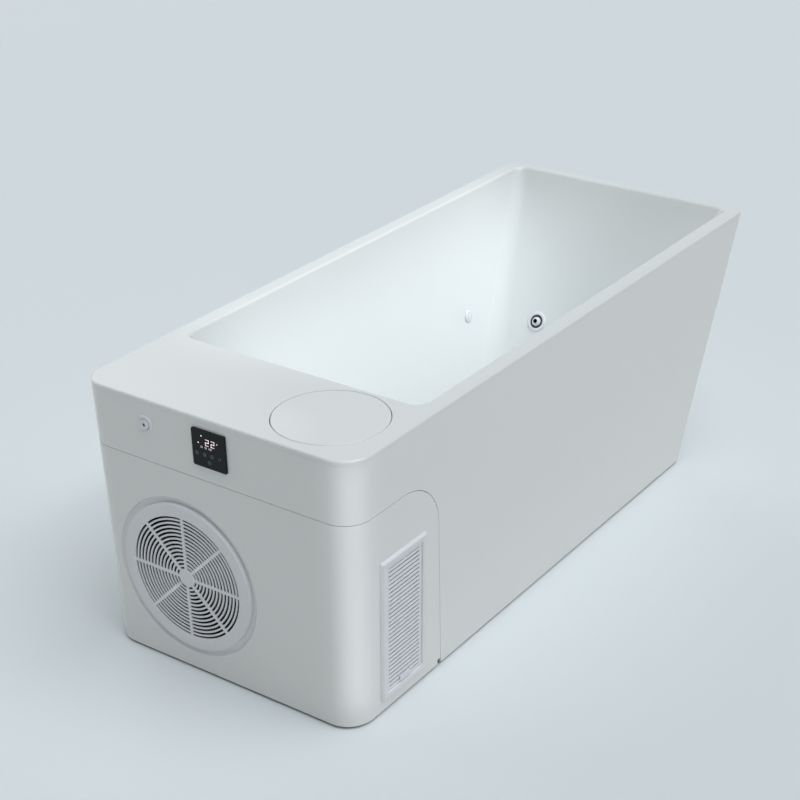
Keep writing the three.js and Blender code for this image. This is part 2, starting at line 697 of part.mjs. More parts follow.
// One ring slot of the grille between two spokes
function grilleSlot(radius, sector) {
  const inner = radius - SLOT_WIDTH / 2;
  const outer = radius + SLOT_WIDTH / 2;
  const sweep = (Math.PI * 2) / SLOT_SECTORS;
  const middle = sector * sweep + sweep / 2;
  const span = (r) => sweep / 2 - Math.asin(SPOKE_WIDTH / 2 / r);
  const steps = radius < GRILLE_RADIUS / 3 ? 1 : 2;
  const arc = (r, from, to) => Array.from({ length: steps + 1 }, (_, i) => {
    const angle = middle + from + ((to - from) * i) / steps;
    return new THREE.Vector2(r * Math.cos(angle), r * Math.sin(angle));
  });
  return new THREE.Path([
    ...arc(outer, -span(outer), span(outer)),
    ...arc(inner, span(inner), -span(inner)),
  ]);
}

function makeGrille() {
  const plate = new THREE.Shape().absarc(0, 0, GRILLE_RADIUS, 0, Math.PI * 2);
  for (let row = 0; row < SLOT_ROWS; row += 1) {
    for (let sector = 0; sector < SLOT_SECTORS; sector += 1) {
      plate.holes.push(grilleSlot(SLOT_FIRST_RADIUS + row * SLOT_PITCH, sector));
    }
  }
  const plateBack = GRILLE_PLATE - GRILLE_PROUD;
  const face = plateX(plate, -GRILLE_PROUD, plateBack, FINE / 2);
  const seatRadius = GRILLE_RADIUS - GRILLE_SEAT + FIT_GAP;
  const seat = turnedX(
    pipe(seatRadius, GRILLE_RADIUS, plateBack - OVERLAP, COVE_DEPTH - FIT_GAP), FINE);
  addPiece('fan_grille', join(face, seat).translate(0, FAN_Y, FAN_Z), whitePlastic);
}

// One twisted blade, from inside the hub to past the tip circle
function fanBlade(index) {
  const section = (radius, chord, pitchDegrees) => {
    const pitch = THREE.MathUtils.degToRad(pitchDegrees);
    const along = new THREE.Vector2(Math.sin(pitch), Math.cos(pitch)).multiplyScalar(chord / 2);
    const across = new THREE.Vector2(Math.cos(pitch), -Math.sin(pitch)).multiplyScalar(BLADE_THICKNESS / 2);
    return [[-1, -1], [1, -1], [1, 1], [-1, 1]].map(([u, v]) => new THREE.Vector3(
      (hubFront + hubBack) / 2 + u * along.x + v * across.x, u * along.y + v * across.y, radius));
  };
  const rootRadius = FAN_HUB_RADIUS - BLADE_THICKNESS;
  const blade = loft([
    section(rootRadius, BLADE_ROOT_CHORD, BLADE_ROOT_PITCH),
    section(FAN_RADIUS, BLADE_TIP_CHORD, BLADE_TIP_PITCH),
  ]);
  return blade.rotateX((index * Math.PI * 2) / FAN_BLADES);
}

function makeFan() {
  const place = (geometry) => geometry.translate(0, FAN_Y, FAN_Z);
  const ring = turnedX(pipe(shroudRadius, shroudRadius + SHROUD_WALL, shroudFront, shroudBack), ROUND);
  const flangeShape = roundedRect(2 * shroudHalf, 2 * shroudHalf, SHROUD_WALL);
  flangeShape.holes.push(new THREE.Path().absarc(0, 0, shroudRadius + SHROUD_WALL / 2, 0, Math.PI * 2, true));
  const flange = plateX(flangeShape, shroudBack - SHROUD_WALL, shroudBack, ROUND / 2);
  addPiece('fan_shroud', place(join(ring, flange)), greyPlastic);

  const blades = Array.from({ length: FAN_BLADES }, (_, i) => fanBlade(i));
  const hub = turnedX(rod(FAN_HUB_RADIUS, hubFront, hubBack), ROUND);
  const shaftEnd = motorFront - SHAFT_LENGTH;
  const bore = turnedX(rod(SHAFT_RADIUS + FIT_GAP, shaftEnd - FIT_GAP, hubBack + REACH), COARSE);
  const tipCircle = turnedX(rod(FAN_RADIUS, hubFront - REACH, hubBack + REACH), FINE);
  addPiece('fan_impeller', place(cut(keep(join(hub, ...blades), tipCircle), bore)), greyPlastic);

  addPiece('fan_motor', place(turnedX([
    [0, shaftEnd], [SHAFT_RADIUS, shaftEnd], [SHAFT_RADIUS, motorFront], [MOTOR_RADIUS, motorFront],
    [MOTOR_RADIUS, motorBack], [0, motorBack],
  ], COARSE)), steel);

  const bracketBack = bracketFront + BRACKET_THICKNESS;
  const arm = (turn) => boxBetween(
    [bracketFront, -shroudRadius, -BRACKET_ARM / 2],
    [bracketBack, shroudRadius, BRACKET_ARM / 2]).rotateX(turn);
  const plate = turnedX(rod(MOTOR_RADIUS, bracketFront, bracketBack), COARSE);
  const reach = turnedX(rod(shroudRadius - FIT_GAP, bracketFront - OVERLAP, bracketBack + OVERLAP), ROUND);
  addPiece('motor_bracket', place(keep(join(plate, arm(0), arm(Math.PI / 2)), reach)), steel);
}

// Condenser: a finned block that stands on the tray behind the shroud
function makeCondenser() {
  const shape = new THREE.Shape();
  const width = 2 * shroudHalf;
  const pitch = width / FIN_COUNT;
  shape.moveTo(condenserFront, FAN_Y - shroudHalf);
  shape.lineTo(condenserBack, FAN_Y - shroudHalf);
  for (let i = 0; i < FIN_COUNT; i += 1) {
    const y = FAN_Y - shroudHalf + i * pitch;
    if (i > 0) {
      shape.lineTo(condenserBack - FIN_GROOVE, y);
      shape.lineTo(condenserBack, y);
    }
    shape.lineTo(condenserBack, y + pitch / 2);
    if (i < FIN_COUNT - 1) shape.lineTo(condenserBack - FIN_GROOVE, y + pitch / 2);
  }
  shape.lineTo(condenserBack, FAN_Y + shroudHalf);
  shape.lineTo(condenserFront, FAN_Y + shroudHalf);
  const core = plateZ(shape, standZ, condenserTop);
  const stubX = (condenserFront + condenserBack - FIN_GROOVE) / 2;
  const stub = (side, z) => turnedY(rod(LINE_RADIUS, 0, shroudHalf + STUB_LENGTH), TUBE_ARC * 2)
    .rotateX(side < 0 ? Math.PI : 0).translate(stubX, FAN_Y, z);
  addPiece('condenser', join(core, stub(1, dischargeZ), stub(-1, liquidZ)), aluminium);
  return stubX;
}

// Compressor, accumulator, heat exchanger and the refrigerant lines between them
function makeRefrigeration(stubX) {
  addPiece('compressor', turnedZ([
    [0, standZ], [COMPRESSOR_RADIUS + COMPRESSOR_FOOT, standZ],
    [COMPRESSOR_RADIUS + COMPRESSOR_FOOT, standZ + COMPRESSOR_FOOT / 2],
    [COMPRESSOR_RADIUS, standZ + COMPRESSOR_FOOT / 2], [COMPRESSOR_RADIUS, compressorTop - COMPRESSOR_DOME],
    [COMPRESSOR_RADIUS - COMPRESSOR_DOME, compressorTop], [LINE_RADIUS, compressorTop],
    [LINE_RADIUS, compressorTop + STUB_LENGTH], [0, compressorTop + STUB_LENGTH],
  ], DRUM).translate(bayX, compressorY, 0), blackPaint);

  const accumulatorTop = accumulatorZ + ACCUMULATOR_HEIGHT;
  const neck = ACCUMULATOR_RADIUS / 2;
  addPiece('accumulator', turnedZ([
    [0, accumulatorZ], [neck, accumulatorZ], [ACCUMULATOR_RADIUS, accumulatorZ + neck],
    [ACCUMULATOR_RADIUS, accumulatorTop - neck], [LINE_RADIUS, accumulatorTop],
    [LINE_RADIUS, accumulatorTop + STUB_LENGTH], [0, accumulatorTop + STUB_LENGTH],
  ], DRUM).translate(bayX, accumulatorY, 0), blackPaint);

  const waterInZ = standZ + EXCHANGER_IN_LIFT;
  const waterOutZ = standZ + EXCHANGER_OUT_LIFT;
  const shell = turnedZ(rod(EXCHANGER_RADIUS, standZ, exchangerTop), ROUND);
  const spigot = (side, z) => turnedY(rod(SPIGOT_RADIUS, 0, EXCHANGER_RADIUS + SPIGOT_LENGTH), COARSE)
    .rotateX(side < 0 ? Math.PI : 0).translate(0, 0, z);
  const spigotBore = (side, z) => turnedY(
    rod(SPIGOT_BORE, EXCHANGER_RADIUS, EXCHANGER_RADIUS + REACH), COARSE)
    .rotateX(side < 0 ? Math.PI : 0).translate(0, 0, z);
  const gasStub = turnedZ(rod(LINE_RADIUS, exchangerTop - OVERLAP, exchangerTop + STUB_LENGTH), TUBE_ARC * 2)
    .translate(0, EXCHANGER_RADIUS / 2, 0);
  const liquidStub = turnedY(rod(LINE_RADIUS, -EXCHANGER_RADIUS - STUB_LENGTH, 0), TUBE_ARC * 2)
    .translate(0, 0, waterInZ + 2 * EXCHANGER_IN_LIFT);
  const body = join(shell, spigot(-1, waterInZ), spigot(1, waterOutZ), gasStub, liquidStub);
  addPiece('heat_exchanger', cut(body, spigotBore(-1, waterInZ), spigotBore(1, waterOutZ))
    .translate(bayX, exchangerY, 0), steel);

  const compressorStub = compressorTop + STUB_LENGTH + FIT_GAP;
  const condenserEnd = FAN_Y + shroudHalf + STUB_LENGTH + FIT_GAP;
  const bend = LINE_BEND;
  addPiece('discharge_line', tubeAlong([
    [bayX, compressorY, compressorStub], [bayX, compressorY, compressorStub + bend],
    [bayX - bend, condenserEnd + bend / 2, dischargeZ - bend], [stubX, condenserEnd + bend / 2, dischargeZ],
    [stubX, condenserEnd, dischargeZ],
  ], LINE_RADIUS, 0, LINE_STEPS), copper);

  const accumulatorStub = accumulatorTop + STUB_LENGTH + FIT_GAP;
  const gasY = exchangerY + EXCHANGER_RADIUS / 2;
  const gasZ = exchangerTop + STUB_LENGTH + FIT_GAP;
  addPiece('suction_line', tubeAlong([
    [bayX, accumulatorY, accumulatorStub], [bayX, accumulatorY, accumulatorStub + bend / 2],
    [condenserBack + bend, accumulatorY - bend / 2, accumulatorStub + 2 * bend],
    [condenserBack + bend, (accumulatorY + gasY) / 2, gasZ],
    [bayX - bend / 2, gasY + bend / 2, gasZ + bend],
    [bayX, gasY, gasZ + bend / 2], [bayX, gasY, gasZ],
  ], LINE_RADIUS, 0, LINE_STEPS), copper);

  const liquidEnd = FAN_Y - shroudHalf - STUB_LENGTH - FIT_GAP;
  const stubZ = waterInZ + 2 * EXCHANGER_IN_LIFT;
  const stubY = exchangerY - EXCHANGER_RADIUS - STUB_LENGTH - FIT_GAP;
  addPiece('liquid_line', tubeAlong([
    [stubX, liquidEnd, liquidZ], [stubX, liquidEnd - LINE_RADIUS, liquidZ],
    [stubX, liquidEnd - bend / 2, liquidZ + bend],
    [stubX, liquidEnd - bend / 2, stubZ - bend],
    [(stubX + bayX) / 2, stubY - bend, stubZ],
    [bayX, stubY - 2 * LINE_RADIUS, stubZ], [bayX, stubY, stubZ],
  ], LINE_RADIUS, 0, LINE_STEPS), copper);
  return { waterInZ, waterOutZ };
}

// Filter housing hung in the deck, its seal, lid and pleated cartridge
function makeFilter() {
  const at = (geometry) => geometry.translate(LID_X, lidY, 0);
  const bore = HOUSING_RADIUS - HOUSING_WALL;
  const floor = housingFoot + HOUSING_WALL;
  const shell = turnedZ([
    [0, housingFoot], [HOUSING_RADIUS, housingFoot], [HOUSING_RADIUS, flangeTop - HOUSING_FLANGE],
    [LID_RADIUS + LID_GAP - HOLE_GAP, flangeTop - HOUSING_FLANGE],
    [LID_RADIUS + LID_GAP - HOLE_GAP, flangeTop],
    [bore, flangeTop], [bore, floor], [0, floor],
  ], FINE);
  const outlet = turnedZ(rod(SPIGOT_RADIUS, housingFoot - SPIGOT_LENGTH, housingFoot + OVERLAP), COARSE);
  const outletBore = turnedZ(rod(SPIGOT_BORE, housingFoot - REACH, floor + OVERLAP), COARSE);
  const inletReach = HOUSING_RADIUS + SPIGOT_LENGTH;
  const inlet = turnedY(rod(SPIGOT_RADIUS, bore + OVERLAP, inletReach), COARSE).translate(0, 0, inletZ);
  const inletBore = turnedY(rod(SPIGOT_BORE, bore - HOUSING_WALL, inletReach + OVERLAP), COARSE)
    .translate(0, 0, inletZ);
  addPiece('filter_housing', at(cut(join(shell, outlet, inlet), outletBore, inletBore)), whitePlastic);

  addPiece('lid_seal', at(turnedZ(
    pipe(LID_RADIUS - SEAL_WIDTH, LID_RADIUS, sealTop - SEAL_THICKNESS, sealTop), FINE)), rubber);
  addPiece('filter_lid', at(turnedZ([
    [0, lidUnder], [LID_RADIUS, lidUnder], [LID_RADIUS, TUB_HEIGHT - LID_EDGE],
    [LID_RADIUS - LID_EDGE, TUB_HEIGHT], [0, TUB_HEIGHT],
  ], FINE)), acrylic);

  const pleats = Array.from({ length: CARTRIDGE_PLEATS * 2 }, (_, i) => {
    const angle = (i * Math.PI) / CARTRIDGE_PLEATS;
    const radius = i % 2 ? CARTRIDGE_VALLEY : CARTRIDGE_RADIUS;
    return new THREE.Vector2(radius * Math.cos(angle), radius * Math.sin(angle));
  });
  const star = new THREE.Shape(pleats);
  star.holes.push(new THREE.Path().absarc(0, 0, CARTRIDGE_BORE, 0, Math.PI * 2, true));
  const cartridgeFoot = floor + FIT_GAP;
  addPiece('filter_cartridge', at(plateZ(
    star, cartridgeFoot, cartridgeFoot + CARTRIDGE_HEIGHT, COARSE)), filterPaper);
}

// Pump under the filter, and the hoses of the water circuit
function makePump() {
  const at = (geometry) => geometry.translate(LID_X, lidY, 0);
  const motorTop = standZ + PUMP_MOTOR_HEIGHT;
  addPiece('pump_motor', at(turnedZ(rod(PUMP_MOTOR_RADIUS, standZ, motorTop), DRUM)), blackPaint);
  const inletTop = pumpTop + SPIGOT_LENGTH;
  const volute = turnedZ(rod(PUMP_RADIUS, pumpFoot, pumpTop), ROUND);
  const inlet = turnedZ(rod(SPIGOT_RADIUS, pumpTop - OVERLAP, inletTop), COARSE);
  const inletBore = turnedZ(rod(SPIGOT_BORE, pumpTop - SPIGOT_LENGTH, inletTop + OVERLAP), COARSE);
  const outletZ = (pumpFoot + pumpTop) / 2;
  const outletReach = PUMP_RADIUS + SPIGOT_LENGTH;
  const outlet = turnedY(rod(SPIGOT_RADIUS, 0, outletReach), COARSE)
    .translate(PUMP_OUTLET_OFFSET, 0, outletZ);
  const outletBore = turnedY(rod(SPIGOT_BORE, PUMP_RADIUS, outletReach + OVERLAP), COARSE)
    .translate(PUMP_OUTLET_OFFSET, 0, outletZ);
  addPiece('pump_body', at(cut(join(volute, inlet, outlet), inletBore, outletBore)), greyPlastic);
  return { inletTop, outletZ };
}

function makeHoses(pump, exchanger) {
  const filterFoot = housingFoot - SPIGOT_LENGTH - FIT_GAP;
  addPiece('filter_hose', turnedZ(
    pipe(HOSE_BORE, HOSE_RADIUS, pump.inletTop + FIT_GAP, filterFoot), COARSE)
    .translate(LID_X, lidY, 0), rubber);

  const pumpX = LID_X + PUMP_OUTLET_OFFSET;
  const pumpEnd = pumpOutletY + FIT_GAP;
  const inletEnd = exchangerY - EXCHANGER_RADIUS - SPIGOT_LENGTH - FIT_GAP;
  const quarter = (inletEnd - pumpEnd) / 4;
  addPiece('exchanger_hose', tubeAlong([
    [pumpX, pumpEnd, pump.outletZ], [pumpX, pumpEnd + quarter, pump.outletZ],
    [bayX, inletEnd - quarter, exchanger.waterInZ], [bayX, inletEnd, exchanger.waterInZ],
  ], HOSE_RADIUS, HOSE_BORE, SHORT_HOSE_STEPS), rubber);

  const runY = (z) => skirtHalf(z) - SKIRT_WALL - HOSE_STANDOFF - HOSE_RADIUS;
  const bend = HOSE_BEND;
  const suctionOut = new THREE.Vector3(
    -SUCTION_BARREL_RADIUS - SPIGOT_LENGTH - FIT_GAP, 0, -SUCTION_SPIGOT_DEPTH)
    .applyMatrix4(suctionGroup.matrix);
  const filterIn = lidY + HOUSING_RADIUS + SPIGOT_LENGTH + FIT_GAP;
  const sideY = runY(SUCTION_RUN_Z);
  const bayIn = sideY - bend;
  const bayOut = filterIn + bend / 2;
  const bayThird = (bayIn - bayOut) / 3;
  addPiece('suction_hose', tubeAlong([
    suctionOut.toArray(), [suctionOut.x - bend / 2, suctionOut.y, suctionOut.z],
    [suctionOut.x - 3 * bend, sideY, SUCTION_RUN_Z], [bayBack + 8 * bend, sideY, SUCTION_RUN_Z],
    [bayBack + 3 * bend, sideY, SUCTION_RUN_Z], [bayBack + bend / 2, sideY, SUCTION_RUN_Z + bend],
    [bayX + bend / 2, bayIn, suctionBayZ], [bayX, bayIn - bayThird, suctionBayZ],
    [(bayX + LID_X) / 2, bayOut + bayThird, (suctionBayZ + inletZ) / 2],
    [LID_X, bayOut, inletZ], [LID_X, filterIn, inletZ],
  ], HOSE_RADIUS, HOSE_BORE, HOSE_STEPS), rubber);

  const exchangerOut = exchangerY + EXCHANGER_RADIUS + SPIGOT_LENGTH + FIT_GAP;
  const jetOut = new THREE.Vector3(0, JET_BARREL_RADIUS + SPIGOT_LENGTH + FIT_GAP, -JET_SPIGOT_DEPTH)
    .applyMatrix4(jetGroup.matrix);
  const returnY = runY(RETURN_RUN_Z);
  const cornerX = (basinFar(RETURN_RUN_Z) + skirtFar(RETURN_RUN_Z)) / 2;
  addPiece('return_hose', tubeAlong([
    [bayX, exchangerOut, exchanger.waterOutZ], [bayX, exchangerOut + bend, exchanger.waterOutZ],
    [bayX, returnY - 2 * bend, exchanger.waterOutZ],
    [bayX + bend, returnY - bend / 4, exchanger.waterOutZ - bend / 2],
    [bayBack + 2 * bend, returnY, RETURN_RUN_Z], [bayBack + 6 * bend, returnY, RETURN_RUN_Z],
    [cornerX - 6 * bend, returnY, RETURN_RUN_Z], [cornerX - 2 * bend, returnY, RETURN_RUN_Z],
    [cornerX - bend / 4, returnY - bend / 2, RETURN_RUN_Z], [jetOut.x, returnY - 2 * bend, jetOut.z],
    [jetOut.x, jetOut.y + bend / 4, jetOut.z], jetOut.toArray(),
  ], HOSE_RADIUS, HOSE_BORE, HOSE_STEPS), rubber);
}

// Wall fitting: a flange inside the basin, a barrel through the wall and a side spigot behind it
function wallFitting(sizes) {
  const { flangeRadius, proud, barrelRadius, tail, spigotDepth, spigotTurn } = sizes;
  const outside = turnedZ([
    [0, -tail], [barrelRadius, -tail], [barrelRadius, FIT_GAP], [flangeRadius, FIT_GAP],
    [flangeRadius, proud / 2], [flangeRadius - proud / 2, proud], [0, proud],
  ], ROUND);
  const side = (radius, start, end) => turnedX(rod(radius, start, end), COARSE)
    .translate(0, 0, -spigotDepth).rotateZ(spigotTurn);
  const spigotEnd = barrelRadius + SPIGOT_LENGTH;
  return cut(
    join(outside, side(SPIGOT_RADIUS, 0, spigotEnd)),
    side(SPIGOT_BORE, 0, spigotEnd + OVERLAP));
}

function makeJet() {
  const body = wallFitting({
    flangeRadius: JET_FLANGE_RADIUS,
    proud: JET_FLANGE_PROUD,
    barrelRadius: JET_BARREL_RADIUS,
    tail: JET_TAIL,
    spigotDepth: JET_SPIGOT_DEPTH,
    spigotTurn: Math.PI / 2,
  });
  const socketFoot = -COLLAR_BACK - FIT_GAP;
  const socket = turnedZ(rod(JET_BORE, socketFoot, REACH), ROUND);
  const room = turnedZ(rod(EYE_RADIUS, socketFoot - EYE_ROOM, 0), ROUND);
  const throat = turnedZ(rod(SPIGOT_BORE, -JET_SPIGOT_DEPTH, REACH), COARSE);
  addPiece('jet_body', cut(body, socket, room, throat), whitePlastic, jetGroup);

  const seat = EYE_RADIUS + EYE_GAP;
  const collarRadius = JET_BORE - EYE_GAP;
  const collarLength = COLLAR_FRONT + COLLAR_BACK;
  const heights = Array.from(
    { length: SOCKET_RINGS + 1 }, (_, i) => COLLAR_FRONT - (collarLength * i) / SOCKET_RINGS);
  const socketCurve = heights.map((z) => [Math.sqrt(seat * seat - z * z), z]);
  addPiece('jet_collar', turnedZ([
    [collarRadius, -COLLAR_BACK], [collarRadius, COLLAR_FRONT], ...socketCurve, [collarRadius, -COLLAR_BACK],
  ], ROUND), greyPlastic, jetGroup);

  const faceZ = Math.sqrt(EYE_RADIUS * EYE_RADIUS - EYE_HOLE * EYE_HOLE);
  const ball = Array.from({ length: BALL_RINGS + 1 }, (_, i) => {
    const z = -COLLAR_BACK + ((faceZ + COLLAR_BACK) * i) / BALL_RINGS;
    return [Math.sqrt(EYE_RADIUS * EYE_RADIUS - z * z), z];
  });
  addPiece('jet_eyeball', turnedZ([
    [EYE_HOLE, -COLLAR_BACK], ...ball, [EYE_HOLE, -COLLAR_BACK],
  ], ROUND), whitePlastic, jetGroup);
}

function makeSuctionFitting() {
  const body = wallFitting({
    flangeRadius: SUCTION_FLANGE_RADIUS,
    proud: SUCTION_FLANGE_PROUD,
    barrelRadius: SUCTION_BARREL_RADIUS,
    tail: SUCTION_TAIL,
    spigotDepth: SUCTION_SPIGOT_DEPTH,
    spigotTurn: Math.PI,
  });
  const holes = Array.from({ length: STRAINER_HOLES }, (_, i) => turnedZ(
    rod(STRAINER_HOLE, -SUCTION_SPIGOT_DEPTH, REACH), TUBE_ARC * 2)
    .translate(STRAINER_CIRCLE, 0, 0).rotateZ((i * Math.PI * 2) / STRAINER_HOLES));
  addPiece('suction_fitting', cut(body, ...holes), whitePlastic, suctionGroup);
}

// Drain: a flanged cup in the floor, its lifting plug and the pipe to the left side
function makeDrain() {
  const flangeFoot = floorTop + FIT_GAP;
  const flangeHead = flangeFoot + DRAIN_FLANGE_HEIGHT;
  const cup = turnedZ([
    [0, DRAIN_FLOOR_CLEARANCE], [DRAIN_BARREL_RADIUS, DRAIN_FLOOR_CLEARANCE],
    [DRAIN_BARREL_RADIUS, flangeFoot], [DRAIN_FLANGE_RADIUS, flangeFoot],
    [DRAIN_FLANGE_RADIUS, flangeHead], [DRAIN_BORE, flangeHead],
    [DRAIN_BORE, DRAIN_FLOOR_CLEARANCE + DRAIN_FLOOR_WALL], [0, DRAIN_FLOOR_CLEARANCE + DRAIN_FLOOR_WALL],
  ], ROUND);
  const outlet = turnedY(rod(DRAIN_PIPE_BORE, 0, DRAIN_BARREL_RADIUS + REACH), COARSE)
    .translate(0, 0, DRAIN_PIPE_Z);
  addPiece('drain_body', cut(cup, outlet).translate(DRAIN_X, 0, 0), steel);

  const plugFoot = flangeHead + FIT_GAP;
  addPiece('drain_plug', turnedZ([
    [0, plugFoot - PLUG_STEM_LENGTH], [PLUG_STEM_RADIUS, plugFoot - PLUG_STEM_LENGTH],
    [PLUG_STEM_RADIUS, plugFoot], [PLUG_RADIUS, plugFoot], [PLUG_RADIUS, plugFoot + PLUG_HEIGHT / 2],
    [PLUG_RADIUS - PLUG_HEIGHT, plugFoot + PLUG_HEIGHT], [0, plugFoot + PLUG_HEIGHT],
  ], ROUND).translate(DRAIN_X, 0, 0), steel);

  const pipeEnd = skirtHalf(DRAIN_PIPE_Z) + DRAIN_PIPE_PROUD;
  addPiece('drain_pipe', turnedY(
    pipe(DRAIN_PIPE_BORE, DRAIN_PIPE_RADIUS, DRAIN_BARREL_RADIUS + FIT_GAP, pipeEnd), COARSE)
    .translate(DRAIN_X, 0, DRAIN_PIPE_Z), whitePlastic);
}

// Touch panel: glass on the front band, its housing through the skirt and the board inside
function makePanel() {
  const place = (geometry) => geometry.translate(0, PANEL_Y, panelZ);
  addPiece('control_glass', place(plateX(
    roundedRect(PANEL_WIDTH, PANEL_HEIGHT, PANEL_RADIUS), -PANEL_PROUD, -FIT_GAP)), blackGlass);
  const width = PANEL_WIDTH - 2 * PANEL_LAND;
  const height = PANEL_HEIGHT - 2 * PANEL_LAND;
  const innerWidth = width - 2 * PANEL_HOUSING_WALL;
  const innerHeight = height - 2 * PANEL_HOUSING_WALL;
  const frame = new THREE.Shape([
    new THREE.Vector2(-width / 2, -height / 2), new THREE.Vector2(width / 2, -height / 2),
    new THREE.Vector2(width / 2, height / 2), new THREE.Vector2(-width / 2, height / 2),
  ]);
  frame.holes.push(rectHole(innerWidth, innerHeight));
  addPiece('control_housing', place(plateX(frame, 0, PANEL_HOUSING_DEPTH)), greyPlastic);
  const board = boxBetween(
    [BOARD_DEPTH, -innerWidth / 2 + FIT_GAP, -innerHeight / 2 + FIT_GAP],
    [BOARD_DEPTH + BOARD_THICKNESS, innerWidth / 2 - FIT_GAP, innerHeight / 2 - FIT_GAP]);
  addPiece('control_board', place(board), greenBoard);
  addPiece('control_box', boxBetween(
    [CONTROL_BOX_X, controlBoxEnd - CONTROL_BOX_WIDTH, skirtTop - CONTROL_BOX_HEIGHT],
    [CONTROL_BOX_X + CONTROL_BOX_LENGTH, controlBoxEnd, skirtTop]), greyPlastic);
}

// Push button: bezel through the skirt, sprung cap with its centre hole, switch behind
function makeButton() {
  const place = (geometry) => geometry.translate(0, buttonY, buttonZ);
  const bore = BUTTON_RADIUS + FIT_GAP;
  addPiece('button_bezel', place(turnedX([
    [bore, -BEZEL_PROUD], [BEZEL_RADIUS - BEZEL_PROUD / 2, -BEZEL_PROUD], [BEZEL_RADIUS, -BEZEL_PROUD / 2],
    [BEZEL_RADIUS, -FIT_GAP], [BEZEL_BARREL_RADIUS, -FIT_GAP], [BEZEL_BARREL_RADIUS, BEZEL_BARREL_LENGTH],
    [bore, BEZEL_BARREL_LENGTH], [bore, -BEZEL_PROUD],
  ], ROUND)), whitePlastic);
  const capBack = BUTTON_LENGTH - BUTTON_PROUD;
  addPiece('button_cap', place(turnedX([
    [0, BUTTON_HOLE_DEPTH - BUTTON_PROUD], [BUTTON_HOLE_RADIUS, BUTTON_HOLE_DEPTH - BUTTON_PROUD],
    [BUTTON_HOLE_RADIUS, -BUTTON_PROUD], [BUTTON_RADIUS - BUTTON_EDGE, -BUTTON_PROUD],
    [BUTTON_RADIUS, BUTTON_EDGE - BUTTON_PROUD], [BUTTON_RADIUS, capBack], [0, capBack],
  ], ROUND)), whitePlastic);
  const switchFront = BEZEL_BARREL_LENGTH + FIT_GAP;
  addPiece('button_switch', place(turnedX(
    rod(SWITCH_RADIUS, switchFront, switchFront + SWITCH_LENGTH), COARSE)), greyPlastic);
}

// Louvre: a bevelled frame in the cover's side, a door hung at its top, a latch and a dust filter
function makeLouvre() {
  const rectRing = (width, height, z) => [[1, 1], [-1, 1], [-1, -1], [1, -1]]
    .map(([u, v]) => new THREE.Vector3((u * width) / 2, (v * height) / 2, z));
  const openWidth = LOUVRE_WIDTH - 2 * LOUVRE_BORDER;
  const openHeight = LOUVRE_HEIGHT - 2 * LOUVRE_BORDER;
  const face = loft([
    rectRing(LOUVRE_WIDTH, LOUVRE_HEIGHT, FIT_GAP),
    rectRing(LOUVRE_WIDTH, LOUVRE_HEIGHT, LOUVRE_PROUD - LOUVRE_BEVEL),
    rectRing(LOUVRE_WIDTH - 2 * LOUVRE_BEVEL, LOUVRE_HEIGHT - 2 * LOUVRE_BEVEL, LOUVRE_PROUD),
  ]);
  const spigotBack = -SKIRT_WALL - LOUVRE_SPIGOT;
  const spigotShape = roundedRect(
    LOUVRE_WIDTH - 2 * LOUVRE_LIP, LOUVRE_HEIGHT - 2 * LOUVRE_LIP, LOUVRE_CORNER);
  const spigot = plateZ(spigotShape, spigotBack, OVERLAP, 2);
  const opening = plateZ(roundedRect(openWidth, openHeight, FIT_GAP), -REACH, REACH, 1);
  const doorFront = LOUVRE_PROUD - DOOR_RECESS;
  const doorBack = doorFront - DOOR_THICKNESS;
  const doorWidth = openWidth - 2 * DOOR_GAP;
  const doorHeight = openHeight - 2 * DOOR_GAP;
  const pinY = doorHeight / 2 - PIN_INSET;
  const pinZ = (doorFront + doorBack) / 2;
  const pin = (radius, reach) => turnedX(
    rod(radius, -openWidth / 2 - reach, openWidth / 2 + reach), TUBE_ARC * 3)
    .translate(0, pinY, pinZ);
  const pinHole = pin(PIN_RADIUS + FIT_GAP, PIN_REACH + FIT_GAP);
  addPiece('louvre_frame', cut(join(face, spigot), opening, pinHole), whitePlastic, louvreGroup);

  const slatWidth = doorWidth - 2 * SLAT_MARGIN;
  const fieldTop = doorHeight / 2 - SLAT_TOP_MARGIN;
  const pocketFoot = -doorHeight / 2 + LATCH_LIFT;
  const pocketHeight = LATCH_HEIGHT + LATCH_TRAVEL + 2 * SLIDE_GAP;
  const slatCount = Math.floor((fieldTop - pocketFoot - pocketHeight) / SLAT_PITCH);
  const panel = roundedRect(doorWidth, doorHeight, FIT_GAP);
  for (let i = 0; i < slatCount; i += 1) {
    panel.holes.push(rectHole(slatWidth, SLAT_OPENING, 0, fieldTop - (i + 0.5) * SLAT_PITCH));
  }
  panel.holes.push(rectHole(LATCH_WIDTH + 2 * SLIDE_GAP, pocketHeight, 0, pocketFoot + pocketHeight / 2));
  const pins = cut(
    pin(PIN_RADIUS, PIN_REACH),
    boxBetween(
      [-doorWidth / 2 + OVERLAP, pinY - REACH, -REACH], [doorWidth / 2 - OVERLAP, pinY + REACH, REACH]));
  addPiece('louvre_door', join(plateZ(panel, doorBack, doorFront, 1), pins), whitePlastic, louvreGroup);

  const latchFoot = pocketFoot + SLIDE_GAP;
  addPiece('louvre_latch', boxBetween(
    [-LATCH_WIDTH / 2, latchFoot, doorBack],
    [LATCH_WIDTH / 2, latchFoot + LATCH_HEIGHT, doorFront + LATCH_PROUD]), whitePlastic, louvreGroup);

  addPiece('dust_filter', boxBetween(
    [-openWidth / 2 + FIT_GAP, -openHeight / 2 + FIT_GAP, spigotBack],
    [openWidth / 2 - FIT_GAP, openHeight / 2 - FIT_GAP, spigotBack + DUST_FILTER_THICKNESS]),
  greyPlastic, louvreGroup);
}

